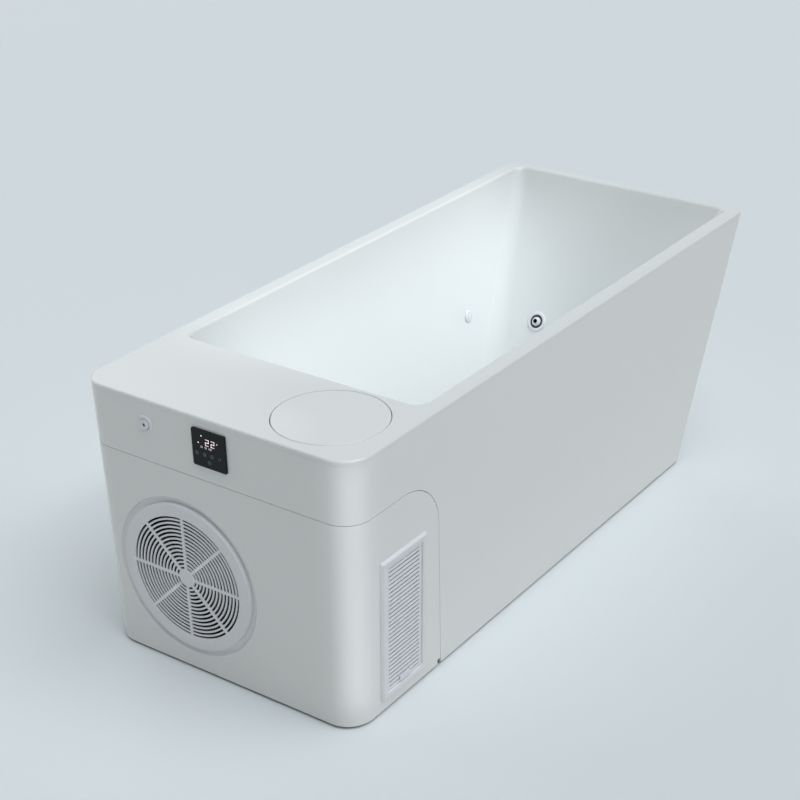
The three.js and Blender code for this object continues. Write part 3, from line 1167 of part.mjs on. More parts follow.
function makeGland() {
  addPiece('cord_gland', turnedZ([
    [GLAND_BORE, -SKIRT_WALL - GLAND_PROUD], [GLAND_BARREL_RADIUS, -SKIRT_WALL - GLAND_PROUD],
    [GLAND_BARREL_RADIUS, FIT_GAP], [GLAND_RADIUS, FIT_GAP], [GLAND_RADIUS, GLAND_PROUD / 2],
    [GLAND_BARREL_RADIUS, GLAND_PROUD], [GLAND_BORE, GLAND_PROUD], [GLAND_BORE, -SKIRT_WALL - GLAND_PROUD],
  ], COARSE), rubber, glandGroup);
}

// Base: two rails, four cross tubes, six feet and the chiller's tray
function makeBase() {
  const railBack = skirtFar(0) - RAIL_FAR_MARGIN;
  const tube = (name, low, high, hollowAxis) => {
    const inner = { low: [...low], high: [...high] };
    for (let axis = 0; axis < 3; axis += 1) {
      inner.low[axis] += axis === hollowAxis ? -OVERLAP : TUBE_WALL;
      inner.high[axis] += axis === hollowAxis ? OVERLAP : -TUBE_WALL;
    }
    addPiece(name, cut(boxBetween(low, high), boxBetween(inner.low, inner.high)), steel);
  };
  const half = TUBE_SIZE / 2;
  for (const [name, side] of [['frame_rail_left', 1], ['frame_rail_right', -1]]) {
    const y = (side * RAIL_SPACING) / 2;
    tube(name, [RAIL_FRONT, y - half, frameFoot], [railBack, y + half, frameTop], 0);
  }
  const crossReach = RAIL_SPACING / 2 - half - FIT_GAP;
  const crossPlaces = [
    ['frame_cross_front', RAIL_FRONT + half],
    ['frame_cross_bay', bayX + COMPRESSOR_RADIUS],
    ['frame_cross_middle', (RAIL_FRONT + railBack) / 2],
    ['frame_cross_rear', railBack - half],
  ];
  for (const [name, x] of crossPlaces) {
    tube(name, [x - half, -crossReach, frameFoot], [x + half, crossReach, frameTop], 1);
  }
  const footPlaces = [
    ['front', RAIL_FRONT + FOOT_INSET],
    ['middle', (RAIL_FRONT + railBack) / 2],
    ['rear', railBack - FOOT_INSET],
  ];
  for (const [end, x] of footPlaces) {
    for (const [hand, side] of [['left', 1], ['right', -1]]) {
      addPiece(`foot_${end}_${hand}`, turnedZ([
        [0, 0], [FOOT_PAD_RADIUS, 0], [FOOT_PAD_RADIUS, FOOT_PAD_HEIGHT / 2],
        [FOOT_STEM_RADIUS, FOOT_PAD_HEIGHT], [FOOT_STEM_RADIUS, FOOT_HEIGHT], [0, FOOT_HEIGHT],
      ], COARSE).translate(x, (side * RAIL_SPACING) / 2, 0), rubber);
    }
  }
  const inside = loft([
    skirtRing(SKIRT_LIFT, SKIRT_WALL + FIT_GAP), skirtRing(skirtTop, SKIRT_WALL + FIT_GAP)]);
  const trayBack = DECK_DEPTH + BASIN_FRONT_LEAN - BASIN_WALL - TRAY_BACK_GAP;
  const louvreSide = skirtHalf(trayTop) - SKIRT_WALL - LOUVRE_SPIGOT - SLIDE_GAP;
  const plate = boxBetween(
    [bossBack + FIT_GAP, -louvreSide, frameTop + FIT_GAP], [trayBack, TUB_WIDTH / 2, trayTop]);
  addPiece('chiller_tray', keep(plate, inside), steel);
}

makeBasin();
makeSkirt();
makeCover();
makeGrille();
makeFan();
const stubX = makeCondenser();
const exchanger = makeRefrigeration(stubX);
makeFilter();
const pump = makePump();
makeHoses(pump, exchanger);
makeJet();
makeSuctionFitting();
makeDrain();
makePanel();
makeButton();
makeLouvre();
makeGland();
makeBase();

export default tub;
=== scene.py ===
import json
import math
import bpy
import bmesh
from mathutils import Matrix, Vector


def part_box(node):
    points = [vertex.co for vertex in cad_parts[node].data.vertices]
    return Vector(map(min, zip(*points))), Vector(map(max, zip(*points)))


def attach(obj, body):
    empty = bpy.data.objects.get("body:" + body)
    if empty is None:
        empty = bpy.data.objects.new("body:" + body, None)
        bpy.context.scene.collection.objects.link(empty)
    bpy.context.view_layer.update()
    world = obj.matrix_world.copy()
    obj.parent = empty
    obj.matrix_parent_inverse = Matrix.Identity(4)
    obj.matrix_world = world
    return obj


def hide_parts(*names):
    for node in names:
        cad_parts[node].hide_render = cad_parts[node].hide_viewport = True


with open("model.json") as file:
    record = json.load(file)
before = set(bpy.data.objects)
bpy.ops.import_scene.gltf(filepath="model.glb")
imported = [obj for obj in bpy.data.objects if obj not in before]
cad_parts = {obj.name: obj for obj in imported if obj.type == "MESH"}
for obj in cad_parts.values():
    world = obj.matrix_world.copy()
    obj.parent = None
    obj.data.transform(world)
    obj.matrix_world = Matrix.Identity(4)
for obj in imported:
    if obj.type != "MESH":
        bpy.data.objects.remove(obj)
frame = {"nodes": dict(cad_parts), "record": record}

scene = bpy.context.scene
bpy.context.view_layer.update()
capProud = 6.0  # the push button stands this far out of the flat front, in mm
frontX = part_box("button_cap")[0].x * 1000 + capProud
overlap = 1  # mm that shapes run into each other where they join or cut
cutShort, cutLong, cutAcross = 20, 60, 500  # mm that cutters reach past what they cut


def place(x, y, z):  # mm counted from the flat front, to metres in the shared frame
    return Vector((x + frontX, y, z)) / 1000


def linear(hexCode):
    parts = [int(hexCode[i:i + 2], 16) / 255 for i in (1, 3, 5)]
    return tuple(c / 12.92 if c <= 0.04045 else ((c + 0.055) / 1.055) ** 2.4 for c in parts) + (1.0,)


def addNode(tree, kind, inputs=None, **settings):
    node = tree.nodes.new(kind)
    for key, value in settings.items():
        setattr(node, key, value)
    for key, value in (inputs or {}).items():
        if isinstance(value, bpy.types.NodeSocket):
            tree.links.new(value, node.inputs[key])
        else:
            node.inputs[key].default_value = value
    return node


# camera where the photograph was taken from
viewSettings = dict(spot=(-2334.22, -2222.08, 2290.01), back=(-0.73583, -0.48569, 0.47186),
                    sensor=36.0, lens=76.86, shiftX=-0.1005, shiftY=0.0665, farClip=100.0)
cameraData = bpy.data.cameras.new("viewCamera")
cameraData.sensor_width = viewSettings["sensor"]
cameraData.lens = viewSettings["lens"]
cameraData.shift_x = viewSettings["shiftX"]
cameraData.shift_y = viewSettings["shiftY"]
cameraData.clip_end = viewSettings["farClip"]
camera = bpy.data.objects.new("viewCamera", cameraData)
scene.collection.objects.link(camera)
camera.location = place(*viewSettings["spot"])
camera.rotation_mode = "QUATERNION"
camera.rotation_quaternion = Vector(viewSettings["back"]).to_track_quat("Z", "Y")
scene.camera = camera
print("camera set")


# one recipe for every finish: colour drift, uneven roughness and a fine surface texture
def makeFinish(name, look):
    material = bpy.data.materials.new(name)
    material.use_nodes = True
    tree = material.node_tree
    tree.nodes.clear()
    coords = addNode(tree, "ShaderNodeTexCoord")
    drawn = addNode(tree, "ShaderNodeMapping", {
        "Vector": coords.outputs["Object"], "Scale": look.get("stretch", (1, 1, 1))})
    grain = addNode(tree, "ShaderNodeTexNoise", {
        "Vector": drawn.outputs["Vector"], "Scale": 1000 / look["grainMm"], "Detail": 3.0})
    drift = addNode(tree, "ShaderNodeTexNoise", {
        "Vector": coords.outputs["Object"], "Scale": 1000 / look["driftMm"], "Detail": 2.0})
    colour = addNode(tree, "ShaderNodeMix", {
        0: drift.outputs["Fac"], 6: linear(look["colour"]), 7: linear(look["colour2"])}, data_type="RGBA")
    low, high = look["roughness"]
    rough = addNode(tree, "ShaderNodeMapRange", {
        "Value": grain.outputs["Fac"], "From Min": 0.3, "From Max": 0.7, "To Min": low, "To Max": high})
    bump = addNode(tree, "ShaderNodeBump", {
        "Height": grain.outputs["Fac"], "Strength": look["bump"], "Distance": look["depthMm"] / 1000})
    shader = addNode(tree, "ShaderNodeBsdfPrincipled", {
        "Base Color": colour.outputs[2], "Roughness": rough.outputs["Result"],
        "Normal": bump.outputs["Normal"], "Metallic": look.get("metallic", 0.0),
        "IOR": look.get("ior", 1.5), "Coat Weight": look.get("coat", 0.0)})
    if "glow" in look:
        shader.inputs["Emission Color"].default_value = linear(look["glow"])
        shader.inputs["Emission Strength"].default_value = look["glowStrength"]
    addNode(tree, "ShaderNodeOutputMaterial", {"Surface": shader.outputs["BSDF"]})
    return material


# pattern sizes are in mm, the finest drawn coarser than real so that they show
finishes = {
    # vacuum-formed acrylic: deep wet gloss, stronger than plain sheet, over a faint ripple
    "acrylic": makeFinish("acrylicVacuumFormed", dict(
        colour="#EFF4F5", colour2="#ECF1F2", grainMm=160, driftMm=600, roughness=(0.02, 0.04),
        bump=0.04, depthMm=0.6, ior=1.62)),
    # ABS, moulded: soft sheen over a spark-eroded skin
    "white_plastic": makeFinish("absMouldedWhite", dict(
        colour="#EFF3F8", colour2="#E9EDF3", grainMm=2.5, driftMm=80, roughness=(0.26, 0.36),
        bump=0.08, depthMm=0.05, ior=1.53)),
    # toughened glass printed black on its back: even near-black, its coat dims reflections
    "black_glass": makeFinish("glassBlackPrinted", dict(
        colour="#121519", colour2="#15191E", grainMm=40, driftMm=120, roughness=(0.04, 0.08),
        bump=0.01, depthMm=0.05, ior=1.28)),
    # glass-filled nylon, moulded: dull charcoal with a mottled skin
    "grey_plastic": makeFinish("nylonMouldedGrey", dict(
        colour="#282C30", colour2="#202327", grainMm=1.8, driftMm=60, roughness=(0.45, 0.6),
        bump=0.15, depthMm=0.08, ior=1.53)),
    # EPDM rubber, extruded: flat black that swallows light
    "rubber": makeFinish("epdmRubberExtruded", dict(
        colour="#1E2022", colour2="#292B2D", grainMm=1.5, driftMm=90, roughness=(0.7, 0.88),
        bump=0.2, depthMm=0.1, ior=1.52)),
    # stainless steel, brushed: soft streaks drawn along X
    "steel": makeFinish("stainlessBrushed", dict(
        colour="#B4B9BC", colour2="#A6ACB0", grainMm=1.2, stretch=(0.03, 1, 1), driftMm=150,
        roughness=(0.28, 0.46), bump=0.12, depthMm=0.04, metallic=1.0)),
    # baked enamel on pressed steel: dark, with a slightly pebbled shine
    "black_paint": makeFinish("steelEnamelBlack", dict(
        colour="#202328", colour2="#272B30", grainMm=3.0, driftMm=100, roughness=(0.3, 0.42),
        bump=0.12, depthMm=0.06, coat=0.3)),
    # drawn copper: warm metal, dulled in patches
    "copper": makeFinish("copperDrawn", dict(
        colour="#C98358", colour2="#A8653F", grainMm=4.0, driftMm=25, roughness=(0.25, 0.5),
        bump=0.08, depthMm=0.04, metallic=1.0)),
    # mill-finish aluminium fins: pale metal with fine upright lines
    "aluminium": makeFinish("aluminiumMillFinish", dict(
        colour="#C6CACD", colour2="#B7BCC0", grainMm=1.5, stretch=(1, 1, 0.05), driftMm=70,
        roughness=(0.32, 0.5), bump=0.15, depthMm=0.05, metallic=1.0)),
    # glass-fibre board, lacquered: mottled green under a satin skin
    "green_board": makeFinish("boardLacquered", dict(
        colour="#1F5A3A", colour2="#2A6C48", grainMm=3.0, driftMm=12, roughness=(0.35, 0.5),
        bump=0.1, depthMm=0.05)),
    # polyester, spun-bonded: chalky white with a fuzzy nap
    "filter_paper": makeFinish("polyesterSpunBonded", dict(
        colour="#E3E9EC", colour2="#D5DDE2", grainMm=0.9, driftMm=30, roughness=(0.85, 0.95),
        bump=0.4, depthMm=0.15)),
}
# clear windows in the printed glass: pinkish white where lit from behind; slate where not, with a faint
# painted glow of their own colour
litMark = makeFinish("displayLit", dict(
    colour="#F6E9EC", colour2="#F2E4E8", grainMm=2, driftMm=10, roughness=(0.4, 0.5), bump=0.02,
    depthMm=0.02, glow="#FBEFF2", glowStrength=0.65))
# unlit key marks: slate, brightened by a faint painted glow
dimMarkPaintedGlow = makeFinish("displayDim", dict(
    colour="#5B646B", colour2="#545D64", grainMm=2, driftMm=10, roughness=(0.4, 0.5), bump=0.02,
    depthMm=0.02, glow="#5B646B", glowStrength=0.2))
print("finishes made", len(finishes) + 2)


def showPiece(name, mesh, finish, body, replaced=()):
    piece = bpy.data.objects.new(name, mesh)
    scene.collection.objects.link(piece)
    mesh.materials.clear()
    mesh.materials.append(finishes[finish] if isinstance(finish, str) else finish)
    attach(piece, body)
    if replaced:
        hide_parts(*replaced)


def toMesh(bm, name, sharpDegrees=32, outward=True):
    bmesh.ops.remove_doubles(bm, verts=bm.verts, dist=1e-5)
    if outward:
        bmesh.ops.recalc_face_normals(bm, faces=bm.faces)
    mesh = bpy.data.meshes.new(name)
    bm.to_mesh(mesh)
    bm.free()
    mesh.shade_smooth()
    mesh.set_sharp_from_angle(angle=math.radians(sharpDegrees))
    return mesh


def outwardMesh(bm, name):
    bmesh.ops.recalc_face_normals(bm, faces=bm.faces)
    mesh = bpy.data.meshes.new(name)
    bm.to_mesh(mesh)
    bm.free()
    return mesh


def tempObject(bm, name):
    piece = bpy.data.objects.new(name, outwardMesh(bm, name))
    scene.collection.objects.link(piece)
    return piece


def joinPart(bm, part):
    bm.from_mesh(outwardMesh(part, "part"))


def evaluated(piece):
    bpy.context.view_layer.update()
    return bpy.data.meshes.new_from_object(piece.evaluated_get(bpy.context.evaluated_depsgraph_get()))


# joins, cuts or keeps solids, then evens out the shading of flat faces beside fillets
def carved(name, base, steps, sharpDegrees=32):
    for operation, tool in steps:
        change = base.modifiers.new(operation, "BOOLEAN")
        change.operation = operation
        change.solver = "EXACT"
        change.object = tool
    raw = evaluated(base)
    for piece in [base] + [tool for operation, tool in steps]:
        bpy.data.objects.remove(piece)
    bm = bmesh.new()
    bm.from_mesh(raw)
    holder = bpy.data.objects.new(name + "Shade", toMesh(bm, name, sharpDegrees, outward=False))
    scene.collection.objects.link(holder)
    shade = holder.modifiers.new("flatFaces", "WEIGHTED_NORMAL")
    shade.keep_sharp = True
    shade.weight = 100
    final = evaluated(holder)
    bpy.data.objects.remove(holder)
    final.name = name
    return final


def loft(rings):
    bm = bmesh.new()
    rows = [[bm.verts.new(p) for p in ring] for ring in rings]
    for low, high in zip(rows, rows[1:]):
        for i in range(len(low)):
            j = (i + 1) % len(low)
            bm.faces.new((low[i], low[j], high[j], high[i]))
    bm.faces.new(rows[0][::-1])
    bm.faces.new(rows[-1])
    return bm


# rounded plan outline at a height, with its own corner radius at the front and at the far end
def ringAt(startX, endX, half, frontRadius, farRadius, z):
    leastRadius, frontSteps, farSteps = 0.3, 24, 10
    near, far = max(frontRadius, leastRadius), max(farRadius, leastRadius)
    corners = ((endX - far, half - far, far, 0, farSteps),
               (startX + near, half - near, near, 90, frontSteps),
               (startX + near, near - half, near, 180, frontSteps),
               (endX - far, far - half, far, 270, farSteps))
    points = []
    for x, y, radius, start, steps in corners:
        for i in range(steps + 1):
            a = math.radians(start + 90 * i / steps)
            points.append(place(x + radius * math.cos(a), y + radius * math.sin(a), z))
    return points


# turned solid: points are (radius, along) in mm about the axis, placed by a matrix in metres
def turned(profile, matrix, sides=64):
    bm = bmesh.new()
    closed = profile[0] == profile[-1]
    rows = []
    for radius, along in profile[:-1] if closed else profile:
        if radius < 1e-6:
            rows.append([bm.verts.new((0, 0, along / 1000))])
        else:
            angles = [2 * math.pi * i / sides for i in range(sides)]
            ring = [(radius * math.cos(a) / 1000, radius * math.sin(a) / 1000) for a in angles]
            rows.append([bm.verts.new((x, y, along / 1000)) for x, y in ring])
    pairs = list(zip(rows, rows[1:])) + ([(rows[-1], rows[0])] if closed else [])
    for a, b in pairs:
        for i in range(sides):
            j = (i + 1) % sides
            quad = (a[i % len(a)], a[j % len(a)], b[j % len(b)], b[i % len(b)])
            bm.faces.new(tuple(dict.fromkeys(quad)))
    bm.transform(matrix)
    return bm


# rounds the corners of a profile, each by at most the given radius
def eased(profile, radius, steps=4):
    straight, share = math.radians(165), 0.45
    closed = profile[0] == profile[-1]
    points = [Vector(p) for p in (profile[:-1] if closed else profile)]
    result = []
    for i, p in enumerate(points):
        end = i in (0, len(points) - 1) and not closed
        before, after = points[i - 1] - p, points[(i + 1) % len(points)] - p
        if end or p.x < 1e-6 or min(before.length, after.length) < 1e-6 or before.angle(after) > straight:
            result.append(tuple(p))
            continue
        reach = min(radius / math.tan(before.angle(after) / 2), share * before.length, share * after.length)
        a, b = p + before.normalized() * reach, p + after.normalized() * reach
        for s in range(steps + 1):
            t = s / steps
            result.append(tuple(a * (1 - t) ** 2 + p * 2 * t * (1 - t) + b * t ** 2))
    return result + result[:1] if closed else result


def rod(radius, start, end):
    return [(0, start), (radius, start), (radius, end), (0, end)]


def axisMatrix(x, y, z, direction):  # puts a turned solid's Z along a direction
    turn = Vector(direction).to_track_quat("Z", "Y").to_matrix().to_4x4()
    return Matrix.Translation(place(x, y, z)) @ turn


# flat outline in mm, pushed from low to high, each point put in place by a function
def pushed(outline, low, high, put):
    bm = bmesh.new()
    first = [bm.verts.new(put(u, v, low)) for u, v in outline]
    second = [bm.verts.new(put(u, v, high)) for u, v in outline]
    for i in range(len(outline)):
        j = (i + 1) % len(outline)
        bm.faces.new((first[i], first[j], second[j], second[i]))
    bm.faces.new(first[::-1])
    bm.faces.new(second)
    return bm


def alongX(u, v, w):
    return place(w, u, v)


def alongY(u, v, w):
    return place(u, w, v)


def cutBy(bm):
    return "DIFFERENCE", tempObject(bm, "cutter")


def drilled(radius, reach, matrix, sides=64):
    return cutBy(turned(rod(radius, -reach, reach), matrix, sides))


def roundedOutline(width, height, radius, cx=0.0, cy=0.0, steps=8):
    points = []
    for sx, sy, start in ((1, 1, 0), (-1, 1, 90), (-1, -1, 180), (1, -1, 270)):
        for i in range(steps + 1):
            a = math.radians(start + 90 * i / steps)
            points.append((cx + sx * (width / 2 - radius) + radius * math.cos(a),
                           cy + sy * (height / 2 - radius) + radius * math.sin(a)))
    return points


# outer shell: skirt and chiller cover, drawn in towards the foot, with a slanted far end
shell = dict(length=1770, width=750, height=670, lift=6, endRun=268, sideDraft=18, frontRadius=65,
             farRadius=12, rimRound=5, rimDepth=12, rimGap=0.3, wall=6, footRound=1.2)
seam = dict(height=518, topX=310, footX=324, radius=130, gap=1.4, steps=28, notchWidth=12, notchHeight=14,
            notchFoot=-5)
fan = dict(y=102, z=247, coveRadius=199, coveDepth=9, coveFoot=10, coveEdge=1.2, coveSteps=8, bossWall=5,
           radius=183, seat=12, proud=3)
louvre = dict(x=176, z=215, width=166, height=361, border=17, proud=7, lip=8, back=-18, holeRoom=1,
              holeRadius=5, frameRadius=4, openRadius=1.5, fieldRadius=0.8, leastRadius=0.4)
panel = dict(width=92, height=88, proud=5, radius=2.5, y=0, z=600, land=9, backGap=0.3, edge=1.2,
             holeRoom=1, holeRadius=0.5, markProud=0.15, markDepth=0.2)
button = dict(y=184, z=609, bezel=22.5, proud=4, crownFoot=0.4, seatGap=0.3, barrel=16, barrelRoom=0.5,
              back=16, cap=12.4, capGap=0.3, hole=4, lensGap=0.3)
gland = dict(x=372, z=60, hole=9.5)
drain = dict(x=430, pipeZ=18, pipeHole=10.5, bodyHole=24.3, holeTop=120)
deckUnder = shell["height"] - shell["rimDepth"]
skirtTop = deckUnder - shell["rimGap"]
skirtRise = shell["height"] - shell["lift"]
endCos = math.cos(math.atan(shell["endRun"] / skirtRise))
draftAngle = math.atan(shell["sideDraft"] / skirtRise)


def skirtHalf(z):
    return shell["width"] / 2 - shell["sideDraft"] * (shell["height"] - z) / skirtRise


def skirtRing(z, inset):
    fall = (shell["height"] - z) / skirtRise
    return ringAt(inset, shell["length"] - shell["endRun"] * fall - inset / endCos, skirtHalf(z) - inset,
                  shell["frontRadius"] - inset, shell["farRadius"] - inset, z)


def skirtTube():
    foot, footRound, wall = shell["lift"], shell["footRound"], shell["wall"]
    outer = loft([skirtRing(foot, footRound), skirtRing(foot + footRound, 0), skirtRing(skirtTop, 0)])
    inner = loft([skirtRing(foot - overlap, wall), skirtRing(skirtTop + overlap, wall)])
    return tempObject(outer, "skirtOuter"), tempObject(inner, "skirtInner")


def coverOutline(grow):
    foot, radius = seam["footX"] + grow, seam["radius"] + grow
    cx, cz = seam["topX"] - seam["radius"], seam["height"] - seam["radius"]
    points = [(-cutLong, -cutLong), (foot, -cutLong), (foot, shell["lift"])]
    for i in range(seam["steps"] + 1):
        a = math.radians(90 * i / seam["steps"])
        points.append((cx + radius * math.cos(a), cz + radius * math.sin(a)))
    return points + [(-cutLong, seam["height"] + grow)]


fanMatrix = axisMatrix(0, fan["y"], fan["z"], (1, 0, 0))
buttonMatrix = axisMatrix(0, button["y"], button["z"], (1, 0, 0))
glandMatrix = axisMatrix(gland["x"], skirtHalf(gland["z"]), gland["z"], (0, 1, 0))
pipeMatrix = axisMatrix(drain["x"], skirtHalf(drain["pipeZ"]), drain["pipeZ"], (0, 1, 0))
louvreMatrix = (Matrix.Translation(place(louvre["x"], -skirtHalf(louvre["z"]), louvre["z"]))
                @ Matrix.Rotation(math.radians(90) + draftAngle, 4, "X"))


def onLouvre(u, v, w):
    return louvreMatrix @ (Vector((u, v, w)) / 1000)


def louvreBox(size, centre):
    bm = bmesh.new()
    bmesh.ops.create_cube(bm, size=1.0)
    scale = Matrix.Diagonal((*(s / 1000 for s in size), 1))
    bm.transform(louvreMatrix @ Matrix.Translation(Vector(centre) / 1000) @ scale)
    return bm


panelHole = roundedOutline(panel["width"] - 2 * panel["land"] + panel["holeRoom"],
                           panel["height"] - 2 * panel["land"] + panel["holeRoom"],
                           panel["holeRadius"], panel["y"], panel["z"], steps=2)
outer, inner = skirtTube()
showPiece("outerSkirt", carved("outerSkirt", outer, [
    ("DIFFERENCE", inner),
    cutBy(pushed(coverOutline(seam["gap"]), -cutAcross, cutAcross, alongY)),
    cutBy(pushed(panelHole, -cutShort, cutShort, alongX)),
    drilled(button["barrel"] + button["barrelRoom"], cutShort, buttonMatrix),
    drilled(gland["hole"], cutShort, glandMatrix, 32),
    drilled(drain["pipeHole"], cutShort, pipeMatrix, 32),
]), "acrylic", "tub", ["outer_skirt"])
print("skirt made")

outer, inner = skirtTube()
bossRod = rod(fan["coveRadius"] + fan["bossWall"], overlap, fan["coveDepth"] + fan["bossWall"])
bossWhole = tempObject(turned(bossRod, fanMatrix, 128), "bossWhole")
bossLimit = tempObject(loft([skirtRing(shell["lift"], overlap), skirtRing(skirtTop, overlap)]), "bossLimit")
trim = bossWhole.modifiers.new("trim", "BOOLEAN")  # the boss behind the grille stays inside the shell
trim.operation = "INTERSECT"
trim.object = bossLimit
boss = bpy.data.objects.new("boss", evaluated(bossWhole))
scene.collection.objects.link(boss)
for extra in (bossWhole, bossLimit):
    bpy.data.objects.remove(extra)
coveRim = fan["coveRadius"] + fan["coveEdge"]
cove = [(0, -cutLong), (coveRim, -cutLong), (coveRim, 0)]
for i in range(fan["coveSteps"] + 1):  # quarter-round hollow behind a broken edge
    a = math.radians(90 * i / fan["coveSteps"])
    cove.append((fan["coveRadius"] - fan["coveFoot"] * (1 - math.cos(a)),
                 overlap + (fan["coveDepth"] - overlap) * math.sin(a)))
cove.append((0, fan["coveDepth"]))
louvreHole = roundedOutline(louvre["width"] - 2 * louvre["lip"] + louvre["holeRoom"],
                            louvre["height"] - 2 * louvre["lip"] + louvre["holeRoom"],
                            louvre["holeRadius"], steps=4)
notchFront, notchBack = seam["footX"] - seam["notchWidth"], seam["footX"] + cutLong
notchFoot, notchTop = seam["notchFoot"], shell["lift"] + seam["notchHeight"]
notch = [(notchFront, notchFoot), (notchBack, notchFoot), (notchBack, notchTop), (notchFront, notchTop)]
showPiece("chillerCover", carved("chillerCover", outer, [
    ("DIFFERENCE", inner),
    ("INTERSECT", tempObject(pushed(coverOutline(0), -cutAcross, cutAcross, alongY), "coverSpace")),
    ("UNION", boss),
    cutBy(turned(cove, fanMatrix, 128)),
    drilled(fan["radius"] - fan["seat"], cutLong, fanMatrix, 128),
    cutBy(pushed(louvreHole, -cutLong, cutLong, onLouvre)),
    cutBy(pushed(notch, -cutAcross, cutAcross, alongY)),
]), "acrylic", "cover", ["chiller_cover"])
print("cover made")

# basin: deck, rim and inner tub from one formed sheet
basin = dict(deck=296, rimSide=40, rimFar=21.5, wall=6, backrest=361, sideLean=108, frontLean=25,
             frontRadius=38, farRadius=30, footRadius=60, fillet=45, filletSteps=10, lip=6, edgeSteps=6,
             floor=66.6)
lid = dict(x=155, y=-204, radius=126.8, gap=1.7, thickness=9, edge=2.4, bevel=1.5, wall=7.5, housing=115.5,
           housingRoom=0.5, flange=4.3, ledgeDepth=6)
jet = dict(y=132, z=301, flange=29, proud=5, skin=0.2, mouth=1.6, slope=4, edgeTop=1.2, seatGap=0.1, ease=1.5,
           barrel=23, back=-9, bore=19.8, socket=14.4, eye=14, hole=6.5, eyeBack=-8, sleeve=5.6, sleeveGap=0.1)
suction = dict(x=1386, z=335, barrel=16)
fitRoom = 0.3  # mm round a barrel in its hole
basinRise = shell["height"] - basin["floor"]
backrestAngle = math.atan(basin["backrest"] / basinRise)
leanAngle = math.atan(basin["sideLean"] / basinRise)
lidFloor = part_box("filter_housing")[1].z * 1000 - lid["flange"]  # ledge under the filter housing's flange


def basinFar(z):
    return shell["length"] - basin["rimFar"] - basin["backrest"] * (shell["height"] - z) / basinRise


def basinHalf(z):
    return shell["width"] / 2 - basin["rimSide"] - basin["sideLean"] * (shell["height"] - z) / basinRise


def basinRing(z, grow):
    fall = (shell["height"] - z) / basinRise
    frontRadius = basin["frontRadius"] + (basin["footRadius"] - basin["frontRadius"]) * fall
    farRadius = basin["farRadius"] + (basin["footRadius"] - basin["farRadius"]) * fall
    return ringAt(basin["deck"] + basin["frontLean"] * fall - grow,
                  basinFar(z) + grow / math.cos(backrestAngle), basinHalf(z) + grow / math.cos(leanAngle),
                  frontRadius + grow, farRadius + grow, z)


def bowl(footZ, fillet, grow, topZ):
    rings = []
    for i in range(basin["filletSteps"] + 1):
        a = math.radians(90 * i / basin["filletSteps"])
        rings.append(basinRing(footZ + fillet * (1 - math.cos(a)), grow - fillet * (1 - math.sin(a))))
    return rings + [basinRing(topZ, grow)]


def roundedTop(ring, radius):  # rings that round an edge over, up to the rim's height
    count = basin["edgeSteps"]
    angles = [math.radians(90 * i / count) for i in range(count + 1)]
    return [ring(shell["height"] - radius * (1 - math.sin(a)), radius * (1 - math.cos(a))) for a in angles]


slab = tempObject(loft([skirtRing(deckUnder, 0)] + roundedTop(skirtRing, shell["rimRound"])), "slab")
outsideBowl = tempObject(loft(bowl(
    basin["floor"] - basin["wall"], basin["fillet"] + basin["wall"], basin["wall"],
    shell["height"] - shell["rimRound"])), "outsideBowl")
openTop = basinRing(shell["height"] + cutLong, basin["lip"])
insideBowl = loft(bowl(basin["floor"], basin["fillet"], 0, shell["height"] - 2 * basin["lip"])
                  + roundedTop(basinRing, basin["lip"]) + [openTop])
lidMatrix = axisMatrix(lid["x"], lid["y"], 0, (0, 0, 1))
jetMatrix = (Matrix.Translation(place(basinFar(jet["z"]), jet["y"], jet["z"]))
             @ Matrix.Rotation(backrestAngle - math.radians(90), 4, "Y"))
suctionMatrix = (Matrix.Translation(place(suction["x"], basinHalf(suction["z"]), suction["z"]))
                 @ Matrix.Rotation(math.radians(90) - leanAngle, 4, "X"))
lidOpening = lid["radius"] + lid["gap"]
lidMouth, bevelStep = lidOpening + lid["bevel"], lid["bevel"] / 3
lidHole = [(0, lidFloor), (lidOpening, lidFloor), (lidOpening, shell["height"] - lid["bevel"]),
           (lidOpening + bevelStep, shell["height"] - bevelStep), (lidMouth, shell["height"]),
           (lidMouth, shell["height"] + cutLong), (0, shell["height"] + cutLong)]
lidBoss = rod(lidOpening + lid["wall"], lidFloor - lid["ledgeDepth"], deckUnder + overlap)
housingHole = rod(lid["housing"] + lid["housingRoom"], lidFloor - cutLong, shell["height"])
drainHole = rod(drain["bodyHole"], 0, drain["holeTop"])
showPiece("basinShell", carved("basinShell", slab, [
    ("UNION", outsideBowl),
    ("UNION", tempObject(turned(lidBoss, lidMatrix, 96), "lidBoss")),
    cutBy(insideBowl),
    cutBy(turned(lidHole, lidMatrix, 128)),
    cutBy(turned(housingHole, lidMatrix, 96)),
    drilled(jet["barrel"] + fitRoom, cutLong, jetMatrix),
    drilled(suction["barrel"] + fitRoom, cutLong, suctionMatrix, 48),
    cutBy(turned(drainHole, axisMatrix(drain["x"], 0, 0, (0, 0, 1)), 48)),
]), "acrylic", "tub", ["basin"])
print("basin made")

lidProfile = eased(rod(lid["radius"], shell["height"] - lid["thickness"], shell["height"]), lid["edge"])
showPiece("filterLid", toMesh(turned(lidProfile, lidMatrix, 128), "filterLid"),
          "acrylic", "lid", ["filter_lid"])


def newTree(name, sockets):
    tree = bpy.data.node_groups.new(name, "GeometryNodeTree")
    tree.interface.new_socket("Geometry", in_out="OUTPUT", socket_type="NodeSocketGeometry")
    for label, kind in sockets.items():
        tree.interface.new_socket(label, in_out="INPUT", socket_type="NodeSocket" + kind)
    return tree, addNode(tree, "NodeGroupInput"), addNode(tree, "NodeGroupOutput")


